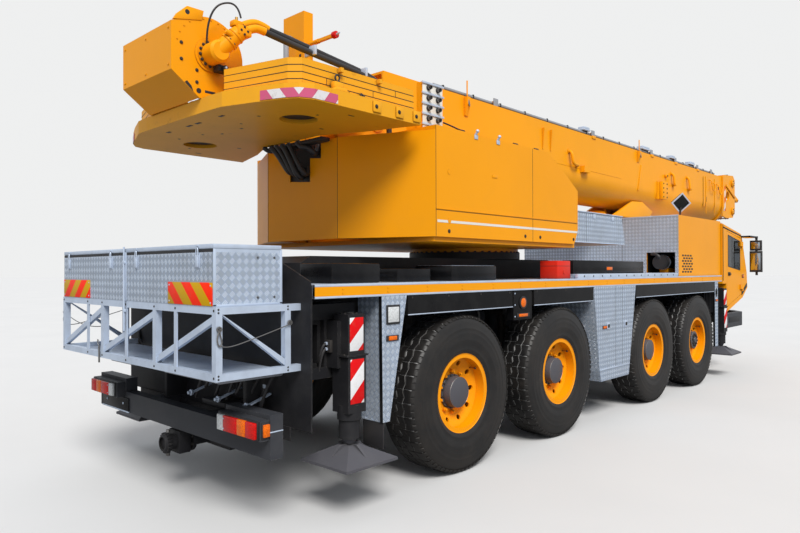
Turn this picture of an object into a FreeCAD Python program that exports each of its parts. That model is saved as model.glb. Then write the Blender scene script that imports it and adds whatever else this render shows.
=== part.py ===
import FreeCAD, Part
import math
import os
import re
import Sketcher

# Four-axle all-terrain mobile crane, in millimetres.
# X points forward, Y to the left, Z up; the origin is on the ground in the middle of the length.

doc = FreeCAD.newDocument("MobileCrane")
sheet = doc.addObject("Spreadsheet::Sheet", "Dims")

# Driving dimensions: alias, value
DIMENSIONS = (
    # wheels and axles
    ("AxleOne", 730), ("AxleTwo", -920), ("AxleThree", -3350), ("AxleFour", -5000),
    ("TyreRadius", 680), ("TyreWidth", 375), ("TreadWidth", 260), ("ShoulderDrop", 60),
    ("BeadRadius", 318), ("BeadHalf", 140), ("RimDepth", 304), ("RimFlange", 37), ("RimWall", 14),
    ("DiscInset", 62), ("DiscWall", 16), ("DiscCone", 45), ("HubRadius", 132), ("HubOuter", 110),
    ("HandHoleCircle", 252), ("HandHoleRadius", 23), ("ShaftTube", 44), ("ShaftFlange", 84),
    ("FlangeWall", 26),
    ("HubInner", 90), ("SpindleRadius", 60), ("BearingFit", 0.05), ("SeatGap", 0.3),
    ("KingpinY", 1000), ("KingpinRadius", 40), ("KnuckleRadius", 74), ("KnuckleHalf", 104),
    ("YokeWall", 36), ("YokeGap", 6), ("YokeRoot", 720), ("AxleRadius", 88), ("DiffRadius", 190),
    ("DiffHalf", 240), ("StrutY", 610), ("StrutRadius", 52), ("StrutTop", 1250), ("StrutPlate", 70),
    # carrier frame and deck
    ("BodyHalf", 1375), ("DeckTop", 1646), ("DeckBottom", 1555), ("DeckRear", -6670), ("DeckFront", 1770),
    ("FrameHalf", 500), ("FrameBottom", 950), ("FrameTop", 1870), ("FrameLow", 1500),
    ("SpineFront", -2150), ("SpineToe", -1250), ("SkirtBottom", 1395), ("SkirtWall", 30),
    ("LampBoxRear", -4250), ("LampBoxLength", 320), ("LampBoxBottom", 1267), ("LockerBottom", 460),
    ("LockerCrease", 582), ("DeckBoxRear", -3325), ("DeckBoxLength", 273), ("DeckBoxTop", 1840),
    ("DeckRailRear", -2980), ("DeckRailLength", 1700), ("DeckRailTop", 1850),
    # outriggers
    ("RearBoxBack", -6690), ("RearBoxFront", -6110), ("FrontBoxBack", 1590), ("FrontBoxFront", 2140),
    ("BoxHalf", 1165), ("BoxBottom", 960), ("BoxTop", 1500), ("BeamWidth", 225), ("BeamDepth", 340),
    ("BeamBottom", 1040), ("BeamWall", 28), ("BeamSide", 6), ("BeamStroke", 1800),
    ("LegY", 1280), ("LegHalf", 80), ("LegBottom", 718), ("LegTop", 1430), ("JackRadius", 62),
    ("LegCollar", 90), ("LegCollarDepth", 106), ("LegFlange", 1125), ("SleeveRadius", 78),
    ("SleeveBottom", 527), ("PadRib", 20),
    ("JackTop", 1330), ("JackStroke", 550), ("PadHalf", 250), ("PadBottom", 360), ("PadRim", 20),
    ("PadTop", 480), ("BallRadius", 52),
    # rear end
    ("RearPlateWall", 12), ("RearPlateBottom", 650), ("BumperRear", -7000), ("BumperWall", 100),
    ("BumperHalf", 1330), ("BumperBottom", 520), ("BumperTop", 695), ("RackRear", -7354),
    ("RackFront", -6787), ("RackHalf", 1265), ("RackBottom", 1060), ("RackTop", 1520), ("RackBar", 46),
    ("LockerFront", -6837), ("LockerHalf", 1235), ("LockerTop", 1910), ("LidWall", 24),
    ("SheetWall", 20), ("LidHingeOut", 12), ("LidHingeUp", 2), ("LidHingeRadius", 9), ("LidPin", 4),
    ("LidKnuckle", 36), ("GussetTop", 1850),
    # driver's cab and engine housing
    ("HornFlat", 3130), ("HornRun", 70), ("HornSeat", 1008), ("HornTop", 1090), ("CabToeX", 2160),
    ("CabToeZ", 1030), ("CabHalf", 1330), ("CabWall", 60), ("CabRear", 1970), ("HousingRear", 120),
    ("HousingTop", 2540), ("AirCanRadius", 105), ("AirCanLength", 480), ("SteeringRadius", 215),
    ("HousingHalf", 1300), ("HousingWall", 30), ("TroughHalf", 240), ("TroughFloor", 2215),
    ("HingeX", 2985), ("HingeOut", 20), ("HingeRadius", 14), ("HingePin", 7), ("HingeLength", 80),
    # superstructure
    ("SlewX", -3250), ("RingRadius", 660), ("RingTop", 1945), ("SlewGap", 0.5),
    ("TableBottom", 1990), ("TableTop", 2030), ("HoodHalf", 1300), ("HoodInner", 460),
    ("HoodTop", 2970), ("CheekInner", 385), ("CheekWall", 42),
    ("HoodRear", -5310), ("TailX", -5665), ("TailWall", 14), ("TailLeft", 594),
    ("PlateBottom", 2930), ("PlateDepth", 110), ("SlabDepth", 50), ("SlabGap", 0.4),
    ("WinchX", -6890), ("WinchRise", 335), ("DrumRadius", 150), ("FlangeRadius", 215),
    ("WinchHalf", 400), ("WinchWall", 28), ("DrumSide", 6), ("ShaftRadius", 55), ("WinchCrown", 288),
    ("MotorFlange", 104), ("MotorRadius", 84), ("MotorReach", 150), ("MotorBend", 62), ("MotorArm", 230),
    ("CouplerTop", 3430),
    # lift cylinder
    ("LiftX", -3200), ("LiftZ", 2150), ("PinX", 900), ("PinZ", 2620), ("BarrelRadius", 150),
    ("BarrelStart", 345), ("BarrelLength", 3500), ("LiftRodRadius", 90), ("EyeHalf", 100), ("EyeRadius", 105),
    # boom
    ("PivotX", -5150), ("PivotZ", 3150), ("PivotRadius", 90), ("BoomHalf", 375), ("BoomTop", 3690),
    ("BoomCentre", 3115), ("BoomRear", -5000), ("BoomFront", 5150), ("BoomWall", 24),
    ("SectionGap", 14), ("CollarDepth", 90), ("CollarWall", 34), ("SectionStep", 105),
    ("TeleStroke", 8000), ("HeadRear", 5490), ("HeadFront", 6320), ("NoseTip", 7354),
    ("SheaveLow", 3040), ("SheaveHigh", 3660), ("SheaveRadius", 170), ("SheaveHalf", 25),
    ("RibStand", 34), ("RibWall", 20), ("HookStand", 50),
)
# Places that follow from the dimensions above
DERIVED = {
    "HornFront": "(HornFlat+HornRun)", "BumperNose": "(HornFlat+330)", "WinchZ": "(PlateTop+WinchRise)",
    "PlateTop": "(PlateBottom+PlateDepth)", "LampBoxFront": "(LampBoxRear+LampBoxLength)",
    "LidHingeX": "(LockerFront+LidHingeOut)", "LidHingeZ": "(LockerTop+LidHingeUp)",
}

for row, (alias, value) in enumerate(DIMENSIONS, start=1):
    sheet.set("A%d" % row, alias)
    sheet.set("B%d" % row, str(value))
    sheet.setAlias("B%d" % row, alias)
doc.recompute()

WORD = re.compile(r"\b[A-Z][A-Za-z]+\b")
SIDES = (("right", -1), ("left", 1))
V = FreeCAD.Vector


def formula(text):
    """An expression on the sheet's aliases, from text or a number."""
    text = str(text)
    for word, meaning in DERIVED.items():
        text = re.sub(r"\b%s\b" % word, meaning, text)
    return WORD.sub(lambda found: "Dims." + found.group(0), text)


def number(text):
    """The value of an expression."""
    return float(sheet.evalExpression(formula(text)))


def bind(thing, prop, text):
    """Tie a property to an expression on the sheet."""
    thing.setExpression(prop, formula(text))


def place(thing, x=0, y=0, z=0):
    """Tie an object's position to expressions on the sheet."""
    for axis, text in zip("xyz", (x, y, z)):
        bind(thing, "Placement.Base." + axis, text)


def box(name, x, y, z):
    """A block between pairs of low and high expressions."""
    solid = doc.addObject("Part::Box", name)
    for prop, (low, high) in zip(("Length", "Width", "Height"), (x, y, z)):
        bind(solid, prop, "(%s)-(%s)" % (high, low))
    place(solid, x[0], y[0], z[0])
    return solid


def across(sign, near, far):
    """The low and high Y of a stretch from near to far on one side."""
    if sign > 0:
        return str(near), str(far)
    return "-(%s)" % far, "-(%s)" % near


TURNS = {"x": V(0, 1, 0), "y": V(-1, 0, 0), "z": V(0, 0, 1)}


def rod(name, axis, start, end, first, second, radius):
    """A cylinder along an axis; first and second are its two other coordinates in X, Y, Z order."""
    solid = doc.addObject("Part::Cylinder", name)
    bind(solid, "Radius", radius)
    bind(solid, "Height", "(%s)-(%s)" % (end, start))
    if axis != "z":
        solid.Placement.Rotation = FreeCAD.Rotation(TURNS[axis], 90)
    spots = {"x": (start, first, second), "y": (first, start, second), "z": (first, second, start)}
    place(solid, *spots[axis])
    return solid


PLANES = {"XZ": "XZ_Plane", "YZ": "YZ_Plane", "XY": "XY_Plane"}


def outline(body, plane, points):
    """A closed sketch of straight lines whose corners are tied to expressions."""
    sketch = body.newObject("Sketcher::SketchObject", body.Name + "Sketch")
    origin = [item for item in body.Origin.OriginFeatures if item.Role == PLANES[plane]][0]
    sketch.AttachmentSupport = [(origin, "")]
    sketch.MapMode = "FlatFace"
    corners = [(number(across_text), number(up_text)) for across_text, up_text in points]
    count = len(corners)
    for index in range(count):
        here = corners[index]
        there = corners[(index + 1) % count]
        sketch.addGeometry(Part.LineSegment(V(here[0], here[1], 0), V(there[0], there[1], 0)))
    for index in range(count):
        sketch.addConstraint(Sketcher.Constraint("Coincident", index, 2, (index + 1) % count, 1))
    for index in range(count):
        for kind, text, value in zip(("DistanceX", "DistanceY"), points[index], corners[index]):
            made = sketch.addConstraint(Sketcher.Constraint(kind, -1, 1, index, 1, value))
            label = "corner%d%s" % (index, kind[-1])
            sketch.renameConstraint(made, label)
            bind(sketch, "Constraints." + label, text)
    return sketch


def prism(name, plane, points, low, high):
    """An outline in a plane, padded from low to high along the third axis."""
    body = doc.addObject("PartDesign::Body", name)
    sketch = outline(body, plane, points)
    pad = body.newObject("PartDesign::Pad", name + "Pad")
    pad.Profile = sketch
    bind(pad, "Length", "(%s)-(%s)" % (high, low))
    body.Tip = pad
    starts = {"XZ": (0, high, 0), "YZ": (low, 0, 0), "XY": (0, 0, low)}
    place(body, *starts[plane])
    return body


def turned(name, plane, axis, points, x=0, y=0, z=0):
    """An outline in a plane, revolved about one of its axes and then placed."""
    body = doc.addObject("PartDesign::Body", name)
    sketch = outline(body, plane, points)
    spin = body.newObject("PartDesign::Revolution", name + "Spin")
    spin.Profile = sketch
    spin.ReferenceAxis = (sketch, [axis])
    spin.Angle = 360
    body.Tip = spin
    place(body, x, y, z)
    return body


def fuse(name, parts):
    """One solid from several that overlap or meet."""
    solid = doc.addObject("Part::MultiFuse", name)
    solid.Shapes = parts
    solid.Refine = True
    return solid


def group(name, parts):
    """Like pieces of one node that don't touch."""
    pieces = doc.addObject("Part::Compound", name)
    pieces.Links = parts
    return pieces


def cut(name, base, tools):
    """A solid less one or more others."""
    solid = doc.addObject("Part::Cut", name)
    solid.Base = base
    solid.Tool = tools[0] if len(tools) == 1 else fuse(name + "Tools", tools)
    solid.Refine = True
    return solid


def rounded(name, solid, radius, axis):
    """A solid whose straight edges along one axis are rounded."""
    way = {"x": V(1, 0, 0), "y": V(0, 1, 0), "z": V(0, 0, 1)}[axis]
    solid.recompute()
    size = number(radius)
    fillet = doc.addObject("Part::Fillet", name)
    fillet.Base = solid
    fillet.Edges = [(index, size, size) for index, edge in enumerate(solid.Shape.Edges, start=1)
                    if edge.Curve.TypeId == "Part::GeomLine" and abs(edge.tangentAt(edge.FirstParameter).dot(way)) > 0.999]
    return fillet


def leaned(name, parts, turn, x, y, z):
    """Parts made about the origin, tipped up towards X by an angle in degrees and then placed."""
    shape = doc.addObject("Part::Compound", name)
    shape.Links = parts
    shape.Placement.Rotation = FreeCAD.Rotation(V(0, -1, 0), turn)
    place(shape, x, y, z)
    return shape


nodes = []


def node(name, solid):
    """Keep a finished sub-part under its own name."""
    solid.Label = name
    nodes.append(solid)


# Wheels: tyre, rim with its hub, and the knuckles and axles that carry them
AXLES = ((1, "AxleOne", True), (2, "AxleTwo", True), (3, "AxleThree", False), (4, "AxleFour", False))
WHEEL_Y = "(BodyHalf-TyreWidth/2)"
HAND_HOLES = 10


def tyre(name, sign, x):
    """A tyre with a flat tread and sloping shoulders, as a ring about Y."""
    half = "TyreWidth/2"
    points = (
        ("-BeadHalf", "BeadRadius+SeatGap"), ("-BeadHalf", "BeadRadius+RimFlange+12"),
        ("-(%s)" % half, "(BeadRadius+TyreRadius)/2-25"), ("-(%s)+12" % half, "TyreRadius-ShoulderDrop"),
        ("-TreadWidth/2", "TyreRadius"), ("TreadWidth/2", "TyreRadius"),
        ("%s-12" % half, "TyreRadius-ShoulderDrop"), (half, "(BeadRadius+TyreRadius)/2-25"),
        ("BeadHalf", "BeadRadius+RimFlange+12"), ("BeadHalf", "BeadRadius+SeatGap"),
    )
    return turned(name, "YZ", "H_Axis", points, x, "%d*%s" % (sign, WHEEL_Y), "TyreRadius")


def rim(name, sign, x):
    """A drop-sided rim with a coned disc and a hub bored for its spindle; out is the open side."""
    def out(text):
        return "%d*(%s)" % (sign, text)
    points = (
        (out("-RimDepth/2"), "BeadRadius+RimFlange"), (out("-RimDepth/2"), "BeadRadius-RimWall"),
        (out("DiscInset-DiscWall"), "BeadRadius-RimWall"), (out("DiscInset-DiscCone-DiscWall"), "HubRadius+70"),
        (out("DiscInset-DiscCone-DiscWall"), "HubRadius"), (out("-HubInner"), "HubRadius"),
        (out("-HubInner"), "SpindleRadius+BearingFit"), (out("HubOuter-30"), "SpindleRadius+BearingFit"),
        (out("HubOuter-30"), "0"), (out("HubOuter"), "0"), (out("HubOuter"), "HubRadius-22"),
        (out("HubOuter-14"), "HubRadius-8"), (out("DiscInset-DiscCone"), "HubRadius-8"),
        (out("DiscInset-DiscCone"), "HubRadius+70"), (out("DiscInset"), "BeadRadius-RimWall"),
        (out("RimDepth/2"), "BeadRadius-RimWall"), (out("RimDepth/2"), "BeadRadius+RimFlange"),
        (out("BeadHalf+SeatGap"), "BeadRadius+RimFlange"), (out("BeadHalf+SeatGap"), "BeadRadius"),
        (out("-BeadHalf-SeatGap"), "BeadRadius"), (out("-BeadHalf-SeatGap"), "BeadRadius+RimFlange"),
    )
    blank = turned(name + "Blank", "YZ", "H_Axis", points, x, "%d*%s" % (sign, WHEEL_Y), "TyreRadius")
    low, high = across(sign, "%s+DiscInset-DiscCone-DiscWall-10" % WHEEL_Y, "%s+DiscInset+10" % WHEEL_Y)
    holes = []
    for index in range(HAND_HOLES):
        turn = math.tau * index / HAND_HOLES
        holes.append(rod("%sHole%d" % (name, index), "y", low, high, "%s+%.6f*HandHoleCircle" % (x, math.cos(turn)),
                         "TyreRadius+%.6f*HandHoleCircle" % math.sin(turn), "HandHoleRadius"))
    return cut(name, blank, [group(name + "Holes", holes)])


def knuckle(name, sign, x):
    """A kingpin block with its spindle and steering arm."""
    pin = rod(name + "Pin", "z", "TyreRadius-KnuckleHalf-YokeGap-YokeWall", "TyreRadius+KnuckleHalf+YokeGap+YokeWall",
              x, "%d*KingpinY" % sign, "KingpinRadius")
    block = rod(name + "Block", "z", "TyreRadius-KnuckleHalf", "TyreRadius+KnuckleHalf", x, "%d*KingpinY" % sign,
                "KnuckleRadius")
    low, high = across(sign, "KingpinY", "%s+HubOuter-40" % WHEEL_Y)
    spindle = rod(name + "Spindle", "y", low, high, x, "TyreRadius", "SpindleRadius")
    low, high = across(sign, "KingpinY-60", "KingpinY+20")
    arm = box(name + "Arm", ("%s-230" % x, x), (low, high), ("TyreRadius-KnuckleHalf", "TyreRadius-KnuckleHalf+30"))
    return fuse(name, [pin, block, spindle, arm])


def axle_beam(name, x, steered):
    """An axle tube with its differential, its ends and the struts up to the frame."""
    end = "YokeRoot" if steered else "%s-HubInner-20" % WHEEL_Y
    parts = [
        rod(name + "Tube", "y", "-(%s)" % end, end, x, "TyreRadius", "AxleRadius"),
        turned(name + "Housing", "YZ", "H_Axis", (
            ("-DiffHalf", "0"), ("-DiffHalf", "AxleRadius+20"), ("-DiffHalf/2", "DiffRadius"),
            ("DiffHalf/2", "DiffRadius"), ("DiffHalf", "AxleRadius+20"), ("DiffHalf", "0")), x, 0, "TyreRadius"),
    ]
    for side, sign in SIDES:
        label = name + side.title()
        parts.append(rod(label + "Strut", "z", "TyreRadius", "StrutTop", x, "%d*StrutY" % sign, "StrutRadius"))
        low, high = across(sign, "FrameHalf", "StrutY+StrutPlate")
        parts.append(box(label + "Bracket", ("%s-StrutPlate" % x, "%s+StrutPlate" % x), (low, high),
                         ("StrutTop", "StrutTop+60")))
        if steered:
            parts.extend(yoke(label, sign, x))
        else:
            low, high = across(sign, end, "%s+HubOuter-40" % WHEEL_Y)
            parts.append(rod(label + "Spindle", "y", low, high, x, "TyreRadius", "SpindleRadius"))
    return fuse(name, parts)


def propshaft(name, rear, front):
    """A tube with a flange at each end, between two differentials."""
    start = "%s+DiffRadius+SeatGap" % rear
    end = "%s-DiffRadius-SeatGap" % front
    return turned(name, "XZ", "H_Axis", (
        (start, "0"), (start, "ShaftFlange"), ("%s+FlangeWall" % start, "ShaftFlange"),
        ("%s+FlangeWall" % start, "ShaftTube"), ("%s-FlangeWall" % end, "ShaftTube"),
        ("%s-FlangeWall" % end, "ShaftFlange"), (end, "ShaftFlange"), (end, "0")), 0, 0, "TyreRadius")


def yoke(label, sign, x):
    """The fork at a steered axle's end, bored for the kingpin."""
    reach = "KnuckleHalf+YokeGap"
    pieces = []
    low, high = across(sign, "YokeRoot-40", "YokeRoot+30")
    pieces.append(box(label + "Web", ("%s-70" % x, "%s+70" % x), (low, high),
                      ("TyreRadius-(%s)-YokeWall" % reach, "TyreRadius+%s+YokeWall" % reach)))
    for word, start in (("Upper", "TyreRadius+%s" % reach), ("Lower", "TyreRadius-(%s)-YokeWall" % reach)):
        low, high = across(sign, "YokeRoot", "KingpinY")
        plate = box(label + word, ("%s-62" % x, "%s+62" % x), (low, high), (start, "%s+YokeWall" % start))
        nose = rod(label + word + "Nose", "z", start, "%s+YokeWall" % start, x, "%d*KingpinY" % sign, "62")
        bore = rod(label + word + "Bore", "z", "%s-5" % start, "%s+YokeWall+5" % start, x, "%d*KingpinY" % sign,
                   "KingpinRadius+BearingFit")
        pieces.append(cut(label + word + "Fork", fuse(label + word + "Blank", [plate, nose]), [bore]))
    return pieces


for place_no, axle_x, steered in AXLES:
    for side, sign in SIDES:
        stem = "%s%d" % (side.title(), place_no)
        node("tyre_%d_%s" % (place_no, side), tyre("Tyre" + stem, sign, axle_x))
        node("rim_%d_%s" % (place_no, side), rim("Rim" + stem, sign, axle_x))
        if steered:
            node("knuckle_%d_%s" % (place_no, side), knuckle("Knuckle" + stem, sign, axle_x))
shafts = [propshaft("Shaft%d" % no, rear, front)
          for no, rear, front in ((1, "AxleTwo", "AxleOne"), (2, "AxleThree", "AxleTwo"), (3, "AxleFour", "AxleThree"))]
node("axles", group("Axles", [axle_beam("Axle%d" % no, x, steered) for no, x, steered in AXLES] + shafts))

# Carrier frame: a box spine, high under the slewing ring and low under the engine
spine = prism("Spine", "XZ", (
    ("RearBoxFront", "FrameBottom"), ("FrontBoxBack", "FrameBottom"), ("FrontBoxBack", "FrameLow"),
    ("SpineToe", "FrameLow"), ("SpineFront", "FrameTop"), ("RearBoxFront+110", "FrameTop"),
    ("RearBoxFront", "FrameTop-60")), "-FrameHalf", "FrameHalf")
ring = rod("SlewRing", "z", "FrameTop", "RingTop", "SlewX", "0", "RingRadius")
tail = box("TailBlock", ("RearBoxBack", "RearBoxBack+300"), ("-350", "350"), ("340", "BoxBottom"))
coupling = rod("Coupling", "x", "BumperRear-50", "RearBoxBack", "0", "404", "62")
horn = prism("Horn", "XZ", (
    ("FrontBoxFront", "1000"), ("FrontBoxFront+500", "960"), ("HornFlat", "HornSeat+SeatGap"),
    ("HornFront", "HornSeat+SeatGap"), ("HornFront", "HornTop"), ("FrontBoxFront+450", "1075"),
    ("CabToeX", "CabToeZ-SeatGap"), ("FrontBoxFront", "CabToeZ-15")), "-FrameHalf", "FrameHalf")
node("chassis_frame", group("ChassisFrame", [
    fuse("FrameSpine", [spine, ring]), fuse("FrameTail", [tail, coupling]), horn]))

# Deck: two side strips joined ahead of the spine
deck_parts = []
for side, sign in SIDES:
    deck_parts.append(box("Deck" + side.title(), ("DeckRear", "DeckFront"), across(sign, "FrameHalf", "BodyHalf"),
                          ("DeckBottom", "DeckTop")))
deck_parts.append(box("DeckBridge", ("SpineToe+250", "HousingRear"), ("-FrameHalf-10", "FrameHalf+10"),
                      ("DeckBottom", "DeckTop")))
deck_top = [box("DeckBox", ("DeckBoxRear", "DeckBoxRear+DeckBoxLength"), ("-HoodHalf", "-HoodHalf+200"),
                ("DeckTop+SeatGap", "DeckBoxTop"))]
for side, sign in SIDES:
    deck_top.append(prism("DeckRail" + side.title(), "XZ", (
        ("DeckRailRear", "DeckTop+SeatGap"), ("DeckRailRear+DeckRailLength+160", "DeckTop+SeatGap"),
        ("DeckRailRear+DeckRailLength", "DeckRailTop"), ("DeckRailRear", "DeckRailTop")),
        *across(sign, "HoodHalf-130", "HoodHalf")))
node("deck", group("DeckWhole", [fuse("Deck", deck_parts)] + deck_top))

# Skirts along each side: rear and front X of each glossy panel
SKIRTS = ((-5737, -4280), (-3900, -2660), (-1515, 1410))
skirt_parts = []
for side, sign in SIDES:
    stem = "Skirt" + side.title()
    edge = across(sign, "BodyHalf-SkirtWall", "BodyHalf")
    for index, (rear, front) in enumerate(SKIRTS):
        skirt_parts.append(box("%s%d" % (stem, index), (rear, front), edge, ("SkirtBottom", "DeckBottom")))
    skirt_parts.append(box(stem + "Lamp", ("LampBoxRear", "LampBoxFront"), across(sign, "BodyHalf-90", "BodyHalf-10"),
                           ("LampBoxBottom", "DeckBottom")))
    skirt_parts.append(prism(stem + "Rear", "XZ", (("-6030", "DeckBottom"), ("-6020", "600"), ("-5945", "600"),
                                                   ("-5750", "DeckBottom")), *edge))
    skirt_parts.append(prism(stem + "Front", "XZ", (("1430", "DeckBottom"), ("1440", "522"), ("1575", "522"),
                                                    ("1580", "DeckBottom")), *edge))
node("side_skirts", group("SideSkirts", skirt_parts))

# Lockers between the second and third axles
locker_parts = []
for side, sign in SIDES:
    locker_parts.append(prism("Locker" + side.title(), "XZ", (
        ("-2647", "DeckBottom"), ("-2512", "LockerCrease"), ("-2480", "LockerBottom"), ("-1744", "LockerBottom"),
        ("-1720", "LockerCrease"), ("-1524", "DeckBottom")), *across(sign, "740", "BodyHalf")))
node("side_lockers", group("SideLockers", locker_parts))


# Outriggers: a cross box at each end, two beams side by side and a jack on each beam
OUTRIGGERS = (
    ("rear", "RearBoxBack", "RearBoxFront", ("right", "left")),
    ("front", "FrontBoxBack", "FrontBoxFront", ("left", "right")),
)


def beam_x(back, front, place_from_front):
    """The X of a beam's middle; the first named side lies nearer the wheels."""
    middle = "(%s+%s)/2" % (back, front)
    return "%s%s(BeamWidth/2+BeamSide+10)" % (middle, place_from_front)


def outrigger(end, side, sign, x):
    """A sliding beam with its leg, and the jack with its float in the leg."""
    stem = end.title() + side.title()
    low, high = across(sign, "-BoxHalf+40", "LegY")
    tube = box("Beam" + stem + "Tube", ("%s-BeamWidth/2" % x, "%s+BeamWidth/2" % x), (low, high),
               ("BeamBottom", "BeamBottom+BeamDepth"))
    low, high = across(sign, "-BoxHalf+40-5", "LegY-LegHalf-10")
    hollow = box("Beam" + stem + "Hollow", ("%s-BeamWidth/2+BeamWall" % x, "%s+BeamWidth/2-BeamWall" % x),
                 (low, high), ("BeamBottom+BeamWall", "BeamBottom+BeamDepth-BeamWall"))
    leg = box("Leg" + stem, ("%s-LegHalf" % x, "%s+LegHalf" % x), across(sign, "LegY-LegHalf", "LegY+LegHalf"),
              ("LegBottom", "LegTop"))
    leg_ring = rod("Leg" + stem + "Ring", "z", "LegBottom-LegCollarDepth/2", "LegBottom+LegCollarDepth/2", x,
                   "%d*LegY" % sign, "LegCollar")
    lower = box("Leg" + stem + "Lower", ("%s-LegHalf-6" % x, "%s+LegHalf+6" % x),
                across(sign, "LegY-LegHalf-6", "LegY+LegHalf+6"), ("LegBottom", "LegFlange"))
    flange = box("Leg" + stem + "Flange", ("%s-LegHalf-24" % x, "%s+LegHalf+24" % x),
                 across(sign, "LegY-LegHalf-24", "LegY+LegHalf+14"), ("LegFlange", "LegFlange+12"))
    sleeve = rod("Leg" + stem + "Sleeve", "z", "SleeveBottom", "LegBottom+5", x, "%d*LegY" % sign,
                 "SleeveRadius")
    bore = rod("Leg" + stem + "Bore", "z", "SleeveBottom-5", "JackTop+20", x, "%d*LegY" % sign,
               "JackRadius+BearingFit")
    blank = fuse("Beam" + stem + "Blank", [tube, leg, leg_ring, lower, flange, sleeve])
    node("beam_%s_%s" % (end, side), cut("Beam" + stem, blank, [hollow, bore]))
    inner = rod("Jack" + stem + "Tube", "z", "PadTop+40", "JackTop", x, "%d*LegY" % sign, "JackRadius")
    ball = doc.addObject("Part::Sphere", "Jack" + stem + "Ball")
    bind(ball, "Radius", "BallRadius")
    place(ball, x, "%d*LegY" % sign, "PadTop+BallRadius-12")
    base = box("Pad" + stem + "Base", ("%s-PadHalf" % x, "%s+PadHalf" % x),
               across(sign, "LegY-PadHalf", "LegY+PadHalf"), ("PadBottom", "PadBottom+PadRim"))
    roof = doc.addObject("Part::Wedge", "Pad" + stem + "Roof")
    for prop, text in (("Xmin", "-PadHalf"), ("Xmax", "PadHalf"), ("Zmin", "-PadHalf"), ("Zmax", "PadHalf"),
                       ("X2min", "-BallRadius"), ("X2max", "BallRadius"), ("Z2min", "-BallRadius"),
                       ("Z2max", "BallRadius"), ("Ymin", "0"), ("Ymax", "PadTop-PadBottom-PadRim")):
        bind(roof, prop, text)
    roof.Placement.Rotation = FreeCAD.Rotation(V(1, 0, 0), 90)
    place(roof, x, "%d*LegY" % sign, "PadBottom+PadRim")
    ribs = []
    for plane in ("XZ", "YZ"):
        rib = prism("Pad%sRib%s" % (stem, plane), plane, (
            ("-PadHalf+20", "PadBottom+PadRim-2"), ("PadHalf-20", "PadBottom+PadRim-2"), ("90", "PadTop+6"),
            ("-90", "PadTop+6")), "0", "PadRib")
        ribs.append(rib)
    place(ribs[0], x, "%d*LegY+PadRib/2" % sign, "0")
    place(ribs[1], "%s-PadRib/2" % x, "%d*LegY" % sign, "0")
    node("jack_%s_%s" % (end, side), fuse("Jack" + stem, [inner, ball, base, roof] + ribs))


box_parts = []
for end, back, front, order in OUTRIGGERS:
    stem = end.title() + "Box"
    shell = box(stem, (back, front), ("-BoxHalf", "BoxHalf"), ("BoxBottom", "BoxTop"))
    tunnels = []
    for side, shift in zip(order, "+-" if end == "rear" else "-+"):
        sign = dict(SIDES)[side]
        x = beam_x(back, front, shift)
        outrigger(end, side, sign, x)
        tunnels.append(box(stem + side.title() + "Tunnel",
                           ("%s-BeamWidth/2-BeamSide" % x, "%s+BeamWidth/2+BeamSide" % x),
                           ("-BoxHalf-5", "BoxHalf+5"), ("BeamBottom-SeatGap", "BeamBottom+BeamDepth+BeamSide")))
    box_parts.append(cut(stem + "Shell", shell, tunnels))
plate = box("RearPlate", ("RearBoxBack-RearPlateWall", "RearBoxBack"), ("-BodyHalf", "BodyHalf"),
            ("RearPlateBottom", "DeckTop"))
gusset = prism("RearGusset", "YZ", (
    ("-BodyHalf+10", "DeckTop-5"), ("-BodyHalf+10", "DeckTop+24"), ("-930", "GussetTop"), ("930", "GussetTop"),
    ("BodyHalf-10", "DeckTop+24"), ("BodyHalf-10", "DeckTop-5")), "RearBoxBack-RearPlateWall", "RearBoxBack")
box_parts[0] = fuse("RearBoxPlate", [box_parts[0], plate, gusset])
node("outrigger_boxes", group("OutriggerBoxes", box_parts))

# Bumpers at both ends
rear_parts = [box("RearBumper", ("BumperRear", "BumperRear+BumperWall"), ("-BumperHalf", "BumperHalf"),
                  ("BumperBottom", "BumperTop"))]
for side, sign in SIDES:
    stem = "Rear" + side.title()
    rear_parts.append(box(stem + "Lamp", ("BumperRear-70", "BumperRear+10"), across(sign, "820", "1320"),
                          ("650", "780")))
    rear_parts.append(box(stem + "Shoulder", ("BumperRear", "BumperRear+BumperWall"), across(sign, "800", "BumperHalf"),
                          ("BumperTop-5", "810")))
    rear_parts.append(box(stem + "Arm", ("BumperRear+BumperWall-5", "RearBoxBack-RearPlateWall"),
                          across(sign, "400", "500"), ("560", "690")))
front_bumper = prism("FrontBumper", "XY", (
    ("FrontBoxFront+90", "-1320"), ("BumperNose-410", "-1320"), ("BumperNose-60", "-1080"), ("BumperNose", "-600"),
    ("BumperNose", "600"), ("BumperNose-60", "1080"), ("BumperNose-410", "1320"), ("FrontBoxFront+90", "1320"),
    ("FrontBoxFront+90", "1240"), ("BumperNose-440", "1240"), ("BumperNose-160", "1040"), ("BumperNose-110", "580"),
    ("BumperNose-110", "-580"), ("BumperNose-160", "-1040"), ("BumperNose-440", "-1240"),
    ("FrontBoxFront+90", "-1240")), "760", "HornSeat-8")
bridge = box("FrontBumperBridge", ("HornFlat+20", "BumperNose-80"), ("-450", "450"), ("HornSeat-28", "HornSeat"))
node("bumpers", group("Bumpers", [fuse("RearBumperWhole", rear_parts),
                                  fuse("FrontBumperWhole", [front_bumper, bridge])]))


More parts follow.
